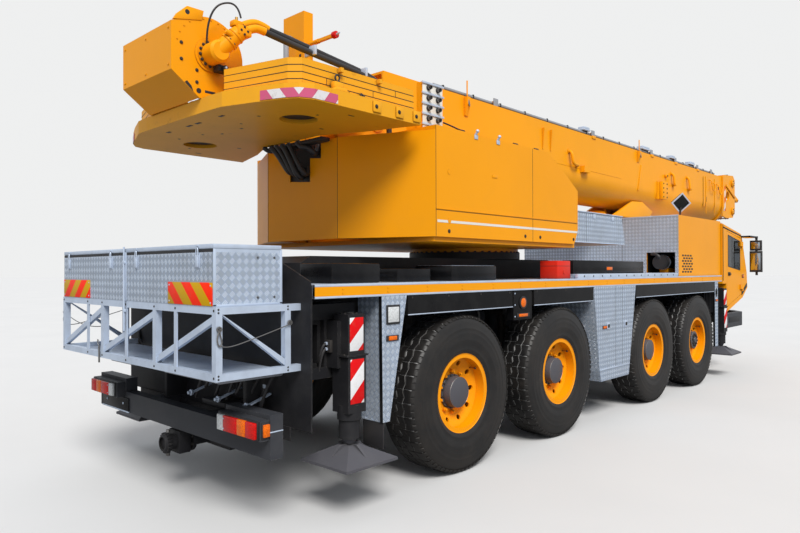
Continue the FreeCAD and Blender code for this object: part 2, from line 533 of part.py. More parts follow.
# Rear rack: a truss of square bars with a locker on it
rack_parts = []
RACK_POSTS = (-1242, -454, 431, 1242)
RACK_STRAPS = (-756, 0, 718)
for level, low in (("Low", "RackBottom"), ("High", "RackTop-RackBar")):
    rack_parts.append(box("Rack%sRear" % level, ("RackRear", "RackRear+RackBar"), ("-RackHalf", "RackHalf"),
                          (low, "%s+RackBar" % low)))
    for side, sign in SIDES:
        rack_parts.append(box("Rack%s%s" % (level, side.title()), ("RackRear", "RearBoxBack-RearPlateWall"),
                              across(sign, "RackHalf-RackBar", "RackHalf"), (low, "%s+RackBar" % low)))
for index, y in enumerate(RACK_POSTS):
    rack_parts.append(box("RackPost%d" % index, ("RackRear", "RackRear+RackBar"),
                          ("%s-RackBar/2" % y, "%s+RackBar/2" % y), ("RackBottom", "RackTop")))
for side, sign in SIDES:
    rack_parts.append(box("RackFrontPost" + side.title(), ("RackFront-RackBar", "RackFront"),
                          across(sign, "RackHalf-RackBar", "RackHalf"), ("RackBottom", "RackTop")))
    rack_parts.append(prism("RackBrace" + side.title(), "XZ", (
        ("RackRear+RackBar-5", "RackTop-RackBar"), ("RackFront-RackBar+5", "RackBottom+RackBar"),
        ("RackFront-RackBar+5", "RackBottom+RackBar+45"), ("RackRear+RackBar-5", "RackTop-RackBar+5")),
        *across(sign, "RackHalf-RackBar+5", "RackHalf-5")))
for index, y in enumerate(RACK_STRAPS):
    rack_parts.append(box("RackStrap%d" % index, ("RackRear", "RackRear+10"), ("%s-18" % y, "%s+18" % y),
                          ("RackBottom", "RackTop")))
for index, (right, left) in enumerate(zip(RACK_POSTS, RACK_POSTS[1:])):
    rack_parts.append(prism("RackDiagonal%d" % index, "YZ", (
        (str(left), "RackBottom+RackBar-5"), (str(right), "RackTop-RackBar-40"),
        (str(right), "RackTop-RackBar+5"), (str(left), "RackBottom+RackBar+40")),
        "RackRear+12", "RackRear+RackBar-4"))
rack_parts.append(box("RackFloor", ("RackRear+5", "RackFront"), ("-RackHalf+5", "RackHalf-5"),
                      ("RackBottom+2", "RackBottom+12")))
locker_shell = cut("RackLocker", box("RackLockerOuter", ("RackRear", "LockerFront"), ("-LockerHalf", "LockerHalf"),
                                     ("RackTop-5", "LockerTop-LidWall-SeatGap")),
                   [box("RackLockerInner", ("RackRear+SheetWall", "LockerFront-SheetWall"),
                        ("-LockerHalf+SheetWall", "LockerHalf-SheetWall"), ("RackTop+SheetWall", "LockerTop"))])
rack_parts.append(locker_shell)
LID_HINGES = (300, 950)
for side, sign in SIDES:
    for index, y in enumerate(LID_HINGES):
        stem = "LidHinge%s%d" % (side.title(), index)
        rack_parts.append(box(stem + "Foot", ("LockerFront-5", "LidHingeX"), across(sign, "%d-LidKnuckle/2" % y,
                              "%d+LidKnuckle/2" % y), ("LockerTop-90", "LidHingeZ")))
        rack_parts.append(rod(stem + "Knuckle", "y", *across(sign, "%d-LidKnuckle/2" % y, "%d+LidKnuckle/2" % y),
                              "LidHingeX", "LidHingeZ", "LidHingeRadius"))
        rack_parts.append(rod(stem + "Pin", "y", *across(sign, "%d-LidKnuckle*1.5" % y, "%d+LidKnuckle*1.5" % y),
                              "LidHingeX", "LidHingeZ", "LidPin"))
lid_foot_cut = box("LidFootCut", ("LockerFront-6", "LockerFront+1"), ("-LockerHalf-5", "LockerHalf+5"),
                   ("LockerTop-LidWall-SeatGap", "LockerTop+60"))
node("rear_rack", cut("RearRackSeated", fuse("RearRack", rack_parts), [lid_foot_cut]))
for side, sign in SIDES:
    stem = "RackLid" + side.title()
    lid_parts = [box(stem + "Sheet", ("RackRear", "LockerFront-6"), across(sign, "3", "LockerHalf"),
                     ("LockerTop-LidWall", "LockerTop"))]
    lid_bores = []
    for index, y in enumerate(LID_HINGES):
        for word, shift in (("Near", -1), ("Far", 1)):
            name = "%sHinge%d%s" % (stem, index, word)
            ends = sorted(("%d%+d*(LidKnuckle/2+0.5)" % (y, shift), "%d%+d*(LidKnuckle*1.5)" % (y, shift)), key=number)
            lid_parts.append(box(name + "Strap", ("LockerFront-60", "LidHingeX"), across(sign, *ends),
                                 ("LockerTop-3", "LidHingeZ+LidHingeRadius")))
            lid_parts.append(rod(name, "y", *across(sign, *ends), "LidHingeX", "LidHingeZ", "LidHingeRadius"))
        lid_bores.append(rod("%sBore%d" % (stem, index), "y", *across(sign, "%d-LidKnuckle*1.6" % y,
                             "%d+LidKnuckle*1.6" % y), "LidHingeX", "LidHingeZ", "LidPin+BearingFit"))
    node("rack_lid_" + side, cut(stem, fuse(stem + "Blank", lid_parts), [group(stem + "Bores", lid_bores)]))

# Engine housing with a trough for the lift cylinder, and the engine inside it
housing = box("HousingBlock", ("HousingRear", "CabRear-10"), ("-HousingHalf", "HousingHalf"), ("DeckTop", "HousingTop"))
inside = box("HousingInside", ("HousingRear+HousingWall", "CabRear-10-HousingWall"),
             ("-HousingHalf+HousingWall", "HousingHalf-HousingWall"), ("DeckTop-10", "TroughFloor-HousingWall"))
trough = box("HousingTrough", ("HousingRear-5", "1300"), ("-TroughHalf", "TroughHalf"), ("TroughFloor", "HousingTop+5"))
recess = box("HousingRecess", ("HousingRear-5", "HousingRear+HousingWall+5"), ("-1250", "-830"), ("1700", "2000"))
air_can = fuse("AirCanWhole", [
    rod("AirCan", "x", "HousingRear+10", "HousingRear+10+AirCanLength", "-1040", "1855", "AirCanRadius"),
    box("AirCanFoot", ("HousingRear+110", "HousingRear+AirCanLength-60"), ("-1100", "-980"),
        ("DeckTop+SeatGap", "1855-AirCanRadius/2"))])
node("engine_housing", group("EngineHousing", [cut("HousingShell", housing, [inside, trough, recess]), air_can]))
node("engine_block", box("EngineBlock", ("300", "1500"), ("-380", "380"), ("FrameLow", "2100")))

# Driver's cab: a hollow shell with a door each side
CAB_OUTER = (("CabRear", "1510"), ("CabRear", "2505"), ("2960", "2370"), ("3020", "2330"), ("3300", "1690"),
             ("3335", "1420"), ("3050", "1250"), ("CabToeX", "CabToeZ"), ("CabToeX", "1510"))
CAB_INNER = (("CabRear+CabWall", "1570"), ("CabRear+CabWall", "2440"), ("2945", "2308"), ("2975", "2290"),
             ("3236", "1685"), ("3270", "1450"), ("3030", "1308"), ("2220", "1108"), ("2220", "1570"))
DOOR = (("2200", "1125"), ("2960", "1313"), ("2960", "2285"), ("2200", "2385"))
DOOR_GAP = 6
PANE = (("2255", "1800"), ("2905", "1735"), ("2905", "2235"), ("2255", "2325"))
cab_outer = prism("CabOuter", "XZ", CAB_OUTER, "-CabHalf", "CabHalf")
cab_inner = prism("CabInner", "XZ", CAB_INNER, "-CabHalf+CabWall", "CabHalf-CabWall")
door_holes = prism("CabDoorHoles", "XZ", (
    ("2200-%d" % DOOR_GAP, "1125-%d" % DOOR_GAP), ("2960+%d" % DOOR_GAP, "1313-%d" % DOOR_GAP),
    ("2960+%d" % DOOR_GAP, "2285+%d" % DOOR_GAP), ("2200-%d" % DOOR_GAP, "2385+%d" % DOOR_GAP)),
    "-CabHalf-5", "CabHalf+5")
screen_hole = box("CabScreenHole", ("2980", "3400"), ("-1150", "1150"), ("1780", "2250"))
mirrors = []
for side, sign in SIDES:
    stem = "Mirror" + side.title()
    mirrors.append(box(stem + "Arm", ("2970", "3420"), across(sign, "CabHalf-50", "CabHalf-20"), ("2310", "2335")))
    mirrors.append(box(stem + "Reach", ("3390", "3420"), across(sign, "CabHalf-50", "1480"), ("2310", "2335")))
    mirrors.append(box(stem + "Post", ("3390", "3420"), across(sign, "1450", "1480"), ("1700", "2335")))
    mirrors.append(rounded(stem + "Lower", box(stem + "LowerBlank", ("3345", "3400"), across(sign, "1370", "1560"),
                                               ("1700", "2070")), "36", "x"))
    mirrors.append(rounded(stem + "Upper", box(stem + "UpperBlank", ("3345", "3400"), across(sign, "1375", "1555"),
                                               ("2085", "2260")), "60", "x"))
visor = prism("SunVisor", "XZ", (("2950", "2350"), ("3005", "2332"), ("3222", "2276"), ("3238", "2205"),
                                 ("3252", "2207"), ("3240", "2292"), ("2950", "2376")), "-CabHalf+180", "CabHalf-180")
hinge_pins = []
HINGE_HEIGHTS = ("1400", "2150")
for side, sign in SIDES:
    hinge_y = "%d*(CabHalf+HingeOut)" % sign
    for index, height in enumerate(HINGE_HEIGHTS):
        stem = "Hinge%s%d" % (side.title(), index)
        hinge_pins.append(box(stem + "Foot", ("HingeX-HingeRadius", "HingeX+HingeRadius"),
                              across(sign, "CabHalf-5", "CabHalf+HingeOut"), ("%s-30" % height, height)))
        hinge_pins.append(rod(stem + "Lower", "z", "%s-30" % height, height, "HingeX", hinge_y, "HingeRadius"))
        hinge_pins.append(rod(stem + "Pin", "z", "%s-5" % height, "%s+HingeLength" % height, "HingeX", hinge_y,
                              "HingePin"))
node("cab_shell", fuse("CabShell", [cut("CabWalls", cab_outer, [cab_inner, door_holes, screen_hole]), visor] + mirrors
                       + hinge_pins))
for side, sign in SIDES:
    stem = "CabDoor" + side.title()
    edge = across(sign, "CabHalf-CabWall", "CabHalf")
    leaf = prism(stem + "Leaf", "XZ", DOOR, *edge)
    light = prism(stem + "Light", "XZ", PANE, "%s-5" % edge[0], "%s+5" % edge[1])
    pane = prism(stem + "Pane", "XZ", PANE, *across(sign, "CabHalf-CabWall+25", "CabHalf-CabWall+33"))
    straps = []
    bores = [light]
    hinge_y = "%d*(CabHalf+HingeOut)" % sign
    for index, height in enumerate(HINGE_HEIGHTS):
        strap = stem + "Strap%d" % index
        straps.append(box(strap, ("2880", "2945"), across(sign, "CabHalf-3", "CabHalf+HingeOut+8"),
                          ("%s+SeatGap" % height, "%s+HingeLength" % height)))
        straps.append(box(strap + "Reach", ("2880", "HingeX"), across(sign, "CabHalf+8", "CabHalf+HingeOut+8"),
                          ("%s+SeatGap" % height, "%s+HingeLength" % height)))
        straps.append(rod(strap + "Barrel", "z", "%s+SeatGap" % height, "%s+HingeLength" % height, "HingeX", hinge_y,
                          "HingeRadius"))
        bores.append(rod(strap + "Bore", "z", "%s-5" % height, "%s+HingeLength+5" % height, "HingeX", hinge_y,
                         "HingePin+BearingFit"))
    node("cab_door_" + side, group(stem, [cut(stem + "Frame", fuse(stem + "Blank", [leaf] + straps), bores), pane]))
node("cab_glass", prism("CabGlass", "XZ", (
    ("3020+(2330-1780.3)*280/640-30", "1780.3"), ("3020+(2330-1780.3)*280/640-20", "1780.3"),
    ("3020+(2330-2249.7)*280/640-20", "2249.7"), ("3020+(2330-2249.7)*280/640-30", "2249.7")), "-1149.7", "1149.7"))
FLOOR_SLOPE = "(1308-1108)/(3030-2220)"
STEERING_LEAN = 40
seats = []
for side, sign in SIDES:
    stem = "Seat" + side.title()
    seat = prism(stem, "XZ", (("2350", "1108+130*" + FLOOR_SLOPE), ("2800", "1108+580*" + FLOOR_SLOPE),
                              ("2800", "1640"), ("2330", "1600"), ("2250", "2230"), ("2120", "2230"),
                              ("2170", "1575"), ("2350", "1575")), *across(sign, "460", "960"))
    seats.append(seat)
dash = prism("Dashboard", "XZ", (("3030", "1308"), ("3270", "1450"), ("3236", "1685"), ("3030", "1700"),
                                 ("2985", "1640")), "-CabHalf+CabWall+5", "CabHalf-CabWall-5")
ring_torus = doc.addObject("Part::Torus", "SteeringRing")
bind(ring_torus, "Radius1", "SteeringRadius")
bind(ring_torus, "Radius2", "16")
steering = leaned("Steering", [fuse("SteeringWheel", [
    ring_torus, box("SteeringSpoke", ("-24", "24"), ("-SteeringRadius", "SteeringRadius"), ("-8", "8")),
    rod("SteeringColumn", "z", "-300", "12", "0", "0", "42")])], STEERING_LEAN, "2890", "710", "1850")
node("cab_interior", group("CabInterior", seats + [fuse("DashAndWheel", [dash, steering])]))

# Superstructure: slewing table with the two cheeks that carry the boom
table = box("Table", ("-5300", "-2900"), ("-HoodHalf+30", "HoodHalf-30"), ("TableBottom", "TableTop"))
collar = rod("TableCollar", "z", "RingTop+SlewGap", "TableBottom+5", "SlewX", "0", "RingRadius-20")
table_parts = [table, collar]
for side, sign in SIDES:
    stem = "Cheek" + side.title()
    blank = prism(stem + "Blank", "XZ", (
        ("-5290", "TableTop-5"), ("-2910", "TableTop-5"), ("-2910", "2260"), ("-4700", "3200"), ("-4950", "3330"),
        ("-5350", "3330"), ("-5500", "PlateTop+190"), ("-6600", "PlateTop+190"), ("-6600", "PlateTop"),
        ("-5700", "PlateTop"), ("-5450", "2700")), *across(sign, "CheekInner", "CheekInner+CheekWall"))
    bore = rod(stem + "Bore", "y", *across(sign, "CheekInner-5", "CheekInner+CheekWall+5"), "PivotX", "PivotZ",
               "PivotRadius+BearingFit")
    table_parts.append(cut(stem, blank, [bore]))
    low, high = across(sign, "EyeHalf+8", "EyeHalf+48")
    table_parts.append(prism("LiftEar" + side.title(), "XZ", (
        ("LiftX-130", "TableTop-5"), ("LiftX+130", "TableTop-5"), ("LiftX+100", "LiftZ+90"), ("LiftX-100", "LiftZ+90")),
        low, high))
table_parts.append(rod("LiftPin", "y", "-EyeHalf-48", "EyeHalf+48", "LiftX", "LiftZ", "55"))
table_parts.append(box("TailTie", ("-6560", "-6480"), ("-CheekInner-5", "CheekInner+5"), ("PlateTop+40", "PlateTop+150")))
post = fuse("PostWhole", [
    box("Post", ("-5960", "-5860"), ("-360", "-70"), ("PlateTop+150", "4000")),
    box("PostArm", ("-5925", "-5895"), ("-700", "-355"), ("PlateTop+660", "PlateTop+685")),
    box("PostFoot", ("-5990", "-5830"), ("-CheekInner-5", "CheekInner+5"), ("PlateTop+100", "PlateTop+160"))])
table_parts.append(post)
node("slew_platform", fuse("SlewPlatform", table_parts))

# Hood: a block each side of the boom and the coned rear corners
hood_right = prism("HoodRightSide", "XZ", (
    ("HoodRear", "TableTop"), ("-2953", "TableTop"), ("-2873", "2172"), ("-2869", "2620"), ("-3124", "2772"),
    ("-3511", "HoodTop"), ("HoodRear", "HoodTop")), "-HoodHalf", "-HoodInner")
hood_left = box("HoodLeftSide", ("HoodRear", "-3640"), ("HoodInner", "HoodHalf"), ("TableTop", "HoodTop"))
WALL_TOP = "PlateBottom-SeatGap"
hood_parts = [hood_right, hood_left]
for side, sign, turn_y in (("right", -1, "HoodInner"), ("left", 1, "TailLeft")):
    hood_parts.append(prism("HoodCorner" + side.title(), "XY", (
        ("HoodRear+10", "%d*HoodInner" % sign), ("HoodRear+10", "%d*HoodHalf" % sign),
        ("HoodRear", "%d*HoodHalf" % sign), ("TailX", "%d*%s" % (sign, turn_y)),
        ("TailX", "%d*(HoodInner-5)" % sign)), "TableTop", WALL_TOP))
    for index, z in enumerate(("TableTop+140", "TableTop+560")):
        hood_parts.append(rod("HoodVent%s%d" % (side.title(), index), "y", *across(sign, "HoodHalf-5", "HoodHalf+3"),
                              "HoodRear+180", z, "22"))
hood_parts.append(prism("TailWall", "YZ", (
    ("-HoodInner", "TableTop"), ("HoodInner", "TableTop"), ("HoodInner", WALL_TOP), ("409", WALL_TOP),
    ("409", "PlateBottom-80"), ("233", "PlateBottom-101"), ("233", "PlateBottom-332"), ("-73", "PlateBottom-362"),
    ("-73", "PlateBottom-140"), ("-232", "PlateBottom-160"), ("-232", WALL_TOP), ("-HoodInner", WALL_TOP)),
    "TailX", "TailX+TailWall"))
hood_parts.append(prism("ToolBoxRight", "XZ", (
    ("-2900", "2060"), ("-1520", "2060"), ("-1600", "2410"), ("-2900", "2410")), "-HoodHalf+70", "-HoodInner"))
hood_parts.append(box("CouplerBlock", ("-5135", "-4865"), ("-1000", "-930"), ("HoodTop-5", "CouplerTop")))
hood_parts.append(box("CouplerFoot", ("-5110", "-4890"), ("-935", "-780"), ("HoodTop-5", "HoodTop+90")))
node("hood", fuse("Hood", hood_parts))

# Operator's cab at the left front of the superstructure
op_outer = prism("OperatorOuter", "XZ", (
    ("-3620", "TableTop"), ("-1950", "TableTop+10"), ("-1830", "2500"), ("-2060", "3180"), ("-2300", "3300"),
    ("-3560", "3300"), ("-3620", "3000")), "560", "HoodHalf")
op_inner = prism("OperatorInner", "XZ", (
    ("-3570", "TableTop+50"), ("-1990", "TableTop+60"), ("-1885", "2495"), ("-2105", "3150"), ("-2320", "3250"),
    ("-3530", "3250"), ("-3570", "2990")), "610", "HoodHalf-50")
op_front = prism("OperatorFrontHole", "XZ", (
    ("-1700", "2510"), ("-1700", "3110"), ("-2140", "3110"), ("-1960", "2510")), "660", "HoodHalf-100")
op_side = prism("OperatorSideHole", "XZ", (
    ("-3400", "2560"), ("-2040", "2560"), ("-2230", "3160"), ("-3400", "3160")), "HoodHalf-60", "HoodHalf+10")
op_shell = cut("OperatorShell", op_outer, [op_inner, op_front, op_side])
node("operator_cab", group("OperatorCab", [op_shell, prism("OperatorSeat", "XZ", (
    ("-3200", "TableTop+55"), ("-2700", "TableTop+55"), ("-2620", "2480"), ("-3020", "2480"), ("-3120", "3000"),
    ("-3260", "3000"), ("-3200", "2400")), "700", "1150")]))
node("operator_glass", group("OperatorGlass", [
    prism("OperatorSidePane", "XZ", (("-3400", "2560"), ("-2040", "2560"), ("-2230", "3160"), ("-3400", "3160")),
          "HoodHalf-30", "HoodHalf-22"),
    prism("OperatorFrontPane", "XZ", (
        ("-1833-20", "2510.3"), ("-1833-30", "2510.3"), ("-2036-30", "3109.7"), ("-2036-20", "3109.7")),
          "660.3", "HoodHalf-100.3")]))

# Counterweight: a base plate and four layers of ballast each side
PLATE = ((-6960, 500), (-6950, 670), (-6860, 940), (-6770, 1170), (-6710, 1260), (-6610, 1305), (-5500, 1305),
         (-5650, 800), (-5820, 410))
plate_points = [(str(x), str(y)) for x, y in PLATE] + [(str(x), str(-y)) for x, y in reversed(PLATE)]
base_plate = prism("BasePlate", "XY", plate_points, "PlateBottom", "PlateTop")
pockets = [turned("Pocket" + side.title(), "XZ", "V_Axis", (("0", "-10"), ("150", "-10"), ("150", "45"), ("60", "85"),
                                                             ("0", "85")), "-6320", "%d*750" % sign, "PlateBottom")
           for side, sign in SIDES]
node("counterweight_plate", cut("CounterweightPlate", base_plate, pockets))
SLAB = ((-6868, 565), (-6710, 1130), (-6640, 1205), (-5480, 1205), (-5480, 565))
slabs = []
for side, sign in SIDES:
    for layer in range(4):
        low = "PlateTop+%d*SlabDepth" % layer
        slabs.append(prism("Slab%s%d" % (side.title(), layer), "XY",
                           [(str(x), str(sign * y)) for x, y in SLAB], "%s+SlabGap" % low, "%s+SlabDepth" % low))
for side, sign in SIDES:
    top = slabs[3 if side == "right" else 7]
    lugs = []
    for index, x in enumerate((-6300, -5900)):
        lugs.append(box("SlabLug%s%d" % (side.title(), index), ("%d-14" % x, "%d+14" % x), across(sign, "1204", "1245"),
                        ("PlateTop+SlabDepth*3.25", "PlateTop+SlabDepth*3.9")))
    slabs[slabs.index(top)] = fuse("SlabTop" + side.title(), [top] + lugs)
node("ballast_slabs", group("BallastSlabs", slabs))

# Winch behind the cheeks
winch_parts = []
for side, sign in SIDES:
    stem = "WinchCheek" + side.title()
    low, high = across(sign, "WinchHalf-WinchWall", "WinchHalf")
    plate = prism(stem + "Plate", "XZ", (
        ("WinchX-310", "PlateTop+170"), ("WinchX-85", "PlateTop"), ("WinchX+250", "PlateTop"),
        ("WinchX+250", "PlateTop+100"), ("WinchX+215", "WinchZ"), ("WinchX-60", "WinchZ+WinchCrown-8"),
        ("WinchX-310", "WinchZ+188")), low, high)
    crown = rod(stem + "Crown", "y", low, high, "WinchX", "WinchZ", "WinchCrown")
    blank = fuse(stem + "Blank", [plate, crown])
    bore = rod(stem + "Bore", "y", *across(sign, "WinchHalf-WinchWall-5", "WinchHalf+5"), "WinchX", "WinchZ",
               "ShaftRadius+BearingFit")
    winch_parts.append(cut(stem, blank, [bore]))
winch_parts.append(prism("WinchCover", "XZ", (
    ("WinchX-310", "PlateTop+170"), ("WinchX-85", "PlateTop"), ("WinchX-85", "PlateTop+24"),
    ("WinchX-290", "PlateTop+182"), ("WinchX-290", "WinchZ+174"), ("WinchX-60", "WinchZ+258"),
    ("WinchX-60", "WinchZ+WinchCrown-8"), ("WinchX-310", "WinchZ+188")), "-WinchHalf+5", "WinchHalf-5"))
winch_parts.append(turned("WinchMotor", "YZ", "H_Axis", (
    ("-WinchHalf+3", "0"), ("-WinchHalf+3", "MotorFlange"), ("-WinchHalf-22", "MotorFlange"),
    ("-WinchHalf-22", "MotorRadius"), ("-WinchHalf-MotorReach", "MotorRadius"),
    ("-WinchHalf-MotorReach-18", "MotorRadius-18"), ("-WinchHalf-MotorReach-18", "0")), "WinchX", "0", "WinchZ"))
motor_bend = doc.addObject("Part::Cylinder", "WinchMotorBend")
bind(motor_bend, "Radius", "MotorBend")
bind(motor_bend, "Height", "MotorArm")
motor_bend.Placement.Rotation = FreeCAD.Rotation(V(0, 0, 1), V(0.60, -0.38, 0.70))
place(motor_bend, "WinchX", "-WinchHalf-MotorReach+45", "WinchZ")
winch_parts.append(motor_bend)
node("winch_frame", fuse("WinchFrame", winch_parts))
drum_half = "(WinchHalf-WinchWall-DrumSide)"
node("winch_drum", fuse("WinchDrum", [
    rod("DrumCore", "y", "-%s" % drum_half, drum_half, "WinchX", "WinchZ", "DrumRadius"),
    rod("DrumShaft", "y", "-WinchHalf+6", "WinchHalf+40", "WinchX", "WinchZ", "ShaftRadius"),
    rod("DrumRight", "y", "-%s" % drum_half, "-%s+16" % drum_half, "WinchX", "WinchZ", "FlangeRadius"),
    rod("DrumLeft", "y", "%s-16" % drum_half, drum_half, "WinchX", "WinchZ", "FlangeRadius")]))

# Lift cylinder, made along X from its foot and tilted to the boom's pin
lift_run = number("PinX-LiftX")
lift_rise = number("PinZ-LiftZ")
lift_length = math.hypot(lift_run, lift_rise)
lift_tilt = math.degrees(math.atan2(lift_rise, lift_run))


def tilted(name, solid):
    """A cylinder part turned up about the lift foot."""
    return leaned(name, [solid], lift_tilt, "LiftX", "0", "LiftZ")


foot = rod("BarrelEye", "y", "-EyeHalf", "EyeHalf", "0", "0", "EyeRadius")
barrel = rod("BarrelTube", "x", "BarrelStart", "BarrelLength", "0", "0", "BarrelRadius")
barrel_bore = rod("BarrelBore", "x", "BarrelStart+60", "BarrelLength+10", "0", "0", "LiftRodRadius+BearingFit")
foot_bore = rod("BarrelFootBore", "y", "-EyeHalf-60", "EyeHalf+60", "0", "0", "55+BearingFit")
neck = box("BarrelNeck", ("0", "BarrelStart+5"), ("-EyeHalf", "EyeHalf"), ("-80", "80"))
node("lift_barrel", tilted("LiftBarrel", cut("Barrel", fuse("BarrelBlank", [foot, barrel, neck]),
                                             [barrel_bore, foot_bore])))
rod_bar = rod("RodBar", "x", "BarrelStart+80", "%s-60" % lift_length, "0", "0", "LiftRodRadius")
rod_eye = rod("RodEye", "y", "-EyeHalf", "EyeHalf", str(lift_length), "0", "EyeRadius")
node("lift_rod", tilted("LiftRod", fuse("RodWhole", [rod_bar, rod_eye])))


# Boom: a tall tube with a round belly, three sections inside it and the head on the last
def boom_tube(name, inset, rear, front):
    """A solid of the boom's outline, drawn in by inset."""
    flank = box(name + "Flank", (rear, front), ("-BoomHalf+%s" % inset, "BoomHalf-%s" % inset),
                ("BoomCentre", "BoomTop-(%s)" % inset))
    belly = rod(name + "Belly", "x", rear, front, "0", "BoomCentre", "BoomHalf-%s" % inset)
    return fuse(name, [flank, belly])


SECTION_PITCH = "(BoomWall+SectionGap)"


def boom_section(name, order, rear, front):
    """A hollow section; order 0 is the outermost. Its collar closes on the next section."""
    inset = "(%d*%s)" % (order, SECTION_PITCH)
    outer = boom_tube(name + "Outer", inset, rear, front)
    hollow = boom_tube(name + "Hollow", "(%s+BoomWall)" % inset, "%s-10" % rear, "%s+10" % front)
    tube = cut(name + "Tube", outer, [hollow])
    collar_outer = boom_tube(name + "CollarOuter", "(%s-CollarWall)" % inset, "%s-CollarDepth" % front, front)
    bore_inset = "(%d*%s-SeatGap)" % (order + 1, SECTION_PITCH)
    collar_hole = boom_tube(name + "CollarHole", bore_inset, "%s-CollarDepth-5" % front, "%s+5" % front)
    return fuse(name, [tube, cut(name + "Collar", collar_outer, [collar_hole])])


# Stiffening ribs by X, lashing hooks by X and depth, side plates by rear, front, low, high and how far they stand out
RIBS = ("-2065", "-1870")
HOOKS = (("-3700", "220"), ("880", "190"))
SIDE_PLATES = (
    ("-1060", "-890", "BoomCentre+10", "BoomCentre+100", "70"),
    ("1655", "1900", "BoomCentre-150", "BoomCentre+150", "14"),
    ("3950", "4010", "BoomCentre-110", "BoomTop-100", "8"),
)
base_section = boom_section("BaseSection", 0, "BoomRear", "BoomFront")
base_parts = [base_section]
for side, sign in SIDES:
    stem = "Boom" + side.title()
    ear = across(sign, "BoomHalf-70", "BoomHalf")
    base_parts.append(prism(stem + "Ear", "XZ", (
        ("BoomRear+20", "PivotZ-260"), ("BoomRear+20", "PivotZ+260"), ("PivotX-120", "PivotZ+200"),
        ("PivotX-210", "PivotZ+60"), ("PivotX-210", "PivotZ-100"), ("PivotX-100", "PivotZ-210")), *ear))
    base_parts.append(prism(stem + "LiftPlate", "XZ", (
        ("700", "BoomCentre-200"), ("PinX-120", "PinZ-50"), ("PinX+60", "PinZ-68"), ("PinX+150", "PinZ-20"),
        ("1900", "BoomCentre-150"), ("1900", "BoomCentre"), ("700", "BoomCentre")),
        *across(sign, "EyeHalf+8", "EyeHalf+50")))
    base_parts.append(rod(stem + "PinHead", "y", *across(sign, "EyeHalf+45", "EyeHalf+70"), "PinX", "PinZ", "70"))
    for index, x in enumerate(RIBS):
        rib = across(sign, "BoomHalf-5", "BoomHalf+RibStand")
        skin, edge = (rib[0], rib[1]) if sign > 0 else (rib[1], rib[0])
        base_parts.append(prism("%sRib%d" % (stem, index), "YZ", (
            (skin, "BoomCentre+205"), ("%d*(BoomHalf+10)" % sign, "BoomCentre+205"), (edge, "BoomTop-95"),
            (skin, "BoomTop-95")), "%s-RibWall/2" % x, "%s+RibWall/2" % x))
    for index, (x, depth) in enumerate(HOOKS):
        skin = "%d*(BoomHalf-5)" % sign
        edge = "%d*(BoomHalf+HookStand)" % sign
        base_parts.append(prism("%sHook%d" % (stem, index), "YZ", (
            (skin, "BoomTop-%s" % depth), ("%d*(BoomHalf+14)" % sign, "BoomTop-%s" % depth),
            (edge, "BoomTop-%s*0.45" % depth), (edge, "BoomTop-12"), (skin, "BoomTop-12")), "%s-28" % x, "%s+28" % x))
    for index, (rear, front, low, high, stand) in enumerate(SIDE_PLATES):
        base_parts.append(box("%sPlate%d" % (stem, index), (rear, front), across(sign, "BoomHalf-50", "BoomHalf+%s" % stand),
                              (low, high)))
base_parts.append(rod("PivotPin", "y", "-CheekInner-CheekWall-10", "CheekInner+CheekWall+10", "PivotX", "PivotZ",
                      "PivotRadius"))
lift_clear = boom_tube("BoomClear", "(BoomWall)", "BoomRear", "BoomFront-CollarDepth-10")
base_blank = fuse("BoomBaseBlank", base_parts)
node("boom_base", cut("BoomBase", base_blank, [lift_clear]))
for order in (1, 2):
    node("boom_section_%d" % order, boom_section(
        "Section%d" % order, order, "BoomRear+%d*150" % order, "BoomFront+%d*SectionStep" % order))
inset = "(3*%s)" % SECTION_PITCH
head_parts = [cut("Section3Tube", boom_tube("Section3Outer", inset, "BoomRear+450", "HeadRear+60"),
                  [boom_tube("Section3Hollow", "(%s+BoomWall)" % inset, "BoomRear+440", "HeadRear+70")])]
for side, sign in SIDES:
    stem = "Head" + side.title()
    plate = prism(stem + "Blank", "XZ", (
        ("HeadRear", "SheaveLow-140"), ("HeadRear+250", "SheaveLow-170"), ("HeadFront-150", "SheaveLow-140"),
        ("HeadFront", "SheaveLow+60"), ("HeadFront", "SheaveHigh+90"), ("HeadFront-120", "SheaveHigh+180"),
        ("HeadRear+100", "SheaveHigh+140"), ("HeadRear", "SheaveHigh-20")), *across(sign, "230", "270"))
    lightening = rod(stem + "Hole", "y", *across(sign, "225", "275"), "HeadRear+330", "(SheaveLow+SheaveHigh)/2", "110")
    head_parts.append(cut(stem + "Plate", plate, [lightening]))
SHEAVES = (("Upper", "SheaveHigh"), ("Lower", "SheaveLow"))
for word, z in SHEAVES:
    for index, y in enumerate((-150, 0, 150)):
        head_parts.append(turned("Sheave%s%d" % (word, index), "YZ", "H_Axis", (
            ("-SheaveHalf", "40"), ("-SheaveHalf", "SheaveRadius"), ("-SheaveHalf+6", "SheaveRadius"),
            ("-6", "SheaveRadius-26"), ("6", "SheaveRadius-26"), ("SheaveHalf-6", "SheaveRadius"),
            ("SheaveHalf", "SheaveRadius"), ("SheaveHalf", "40")), "HeadFront-190", str(y), z))
    head_parts.append(rod("SheavePin" + word, "y", "-285", "285", "HeadFront-190", z, "45"))
head_parts.append(box("HeadTie", ("HeadRear+20", "HeadRear+60"), ("-240", "240"), ("SheaveLow-140", "SheaveHigh-20")))
head_parts.append(prism("Nose", "XZ", (
    ("HeadFront-60", "SheaveHigh-100"), ("NoseTip-60", "SheaveHigh-320"), ("NoseTip", "SheaveHigh-310"),
    ("NoseTip", "SheaveHigh-230"), ("HeadFront-60", "SheaveHigh+100")), "-40", "40"))
head_parts.append(box("NoseTie", ("HeadFront-60", "HeadFront"), ("-235", "235"), ("SheaveHigh-60", "SheaveHigh+60")))
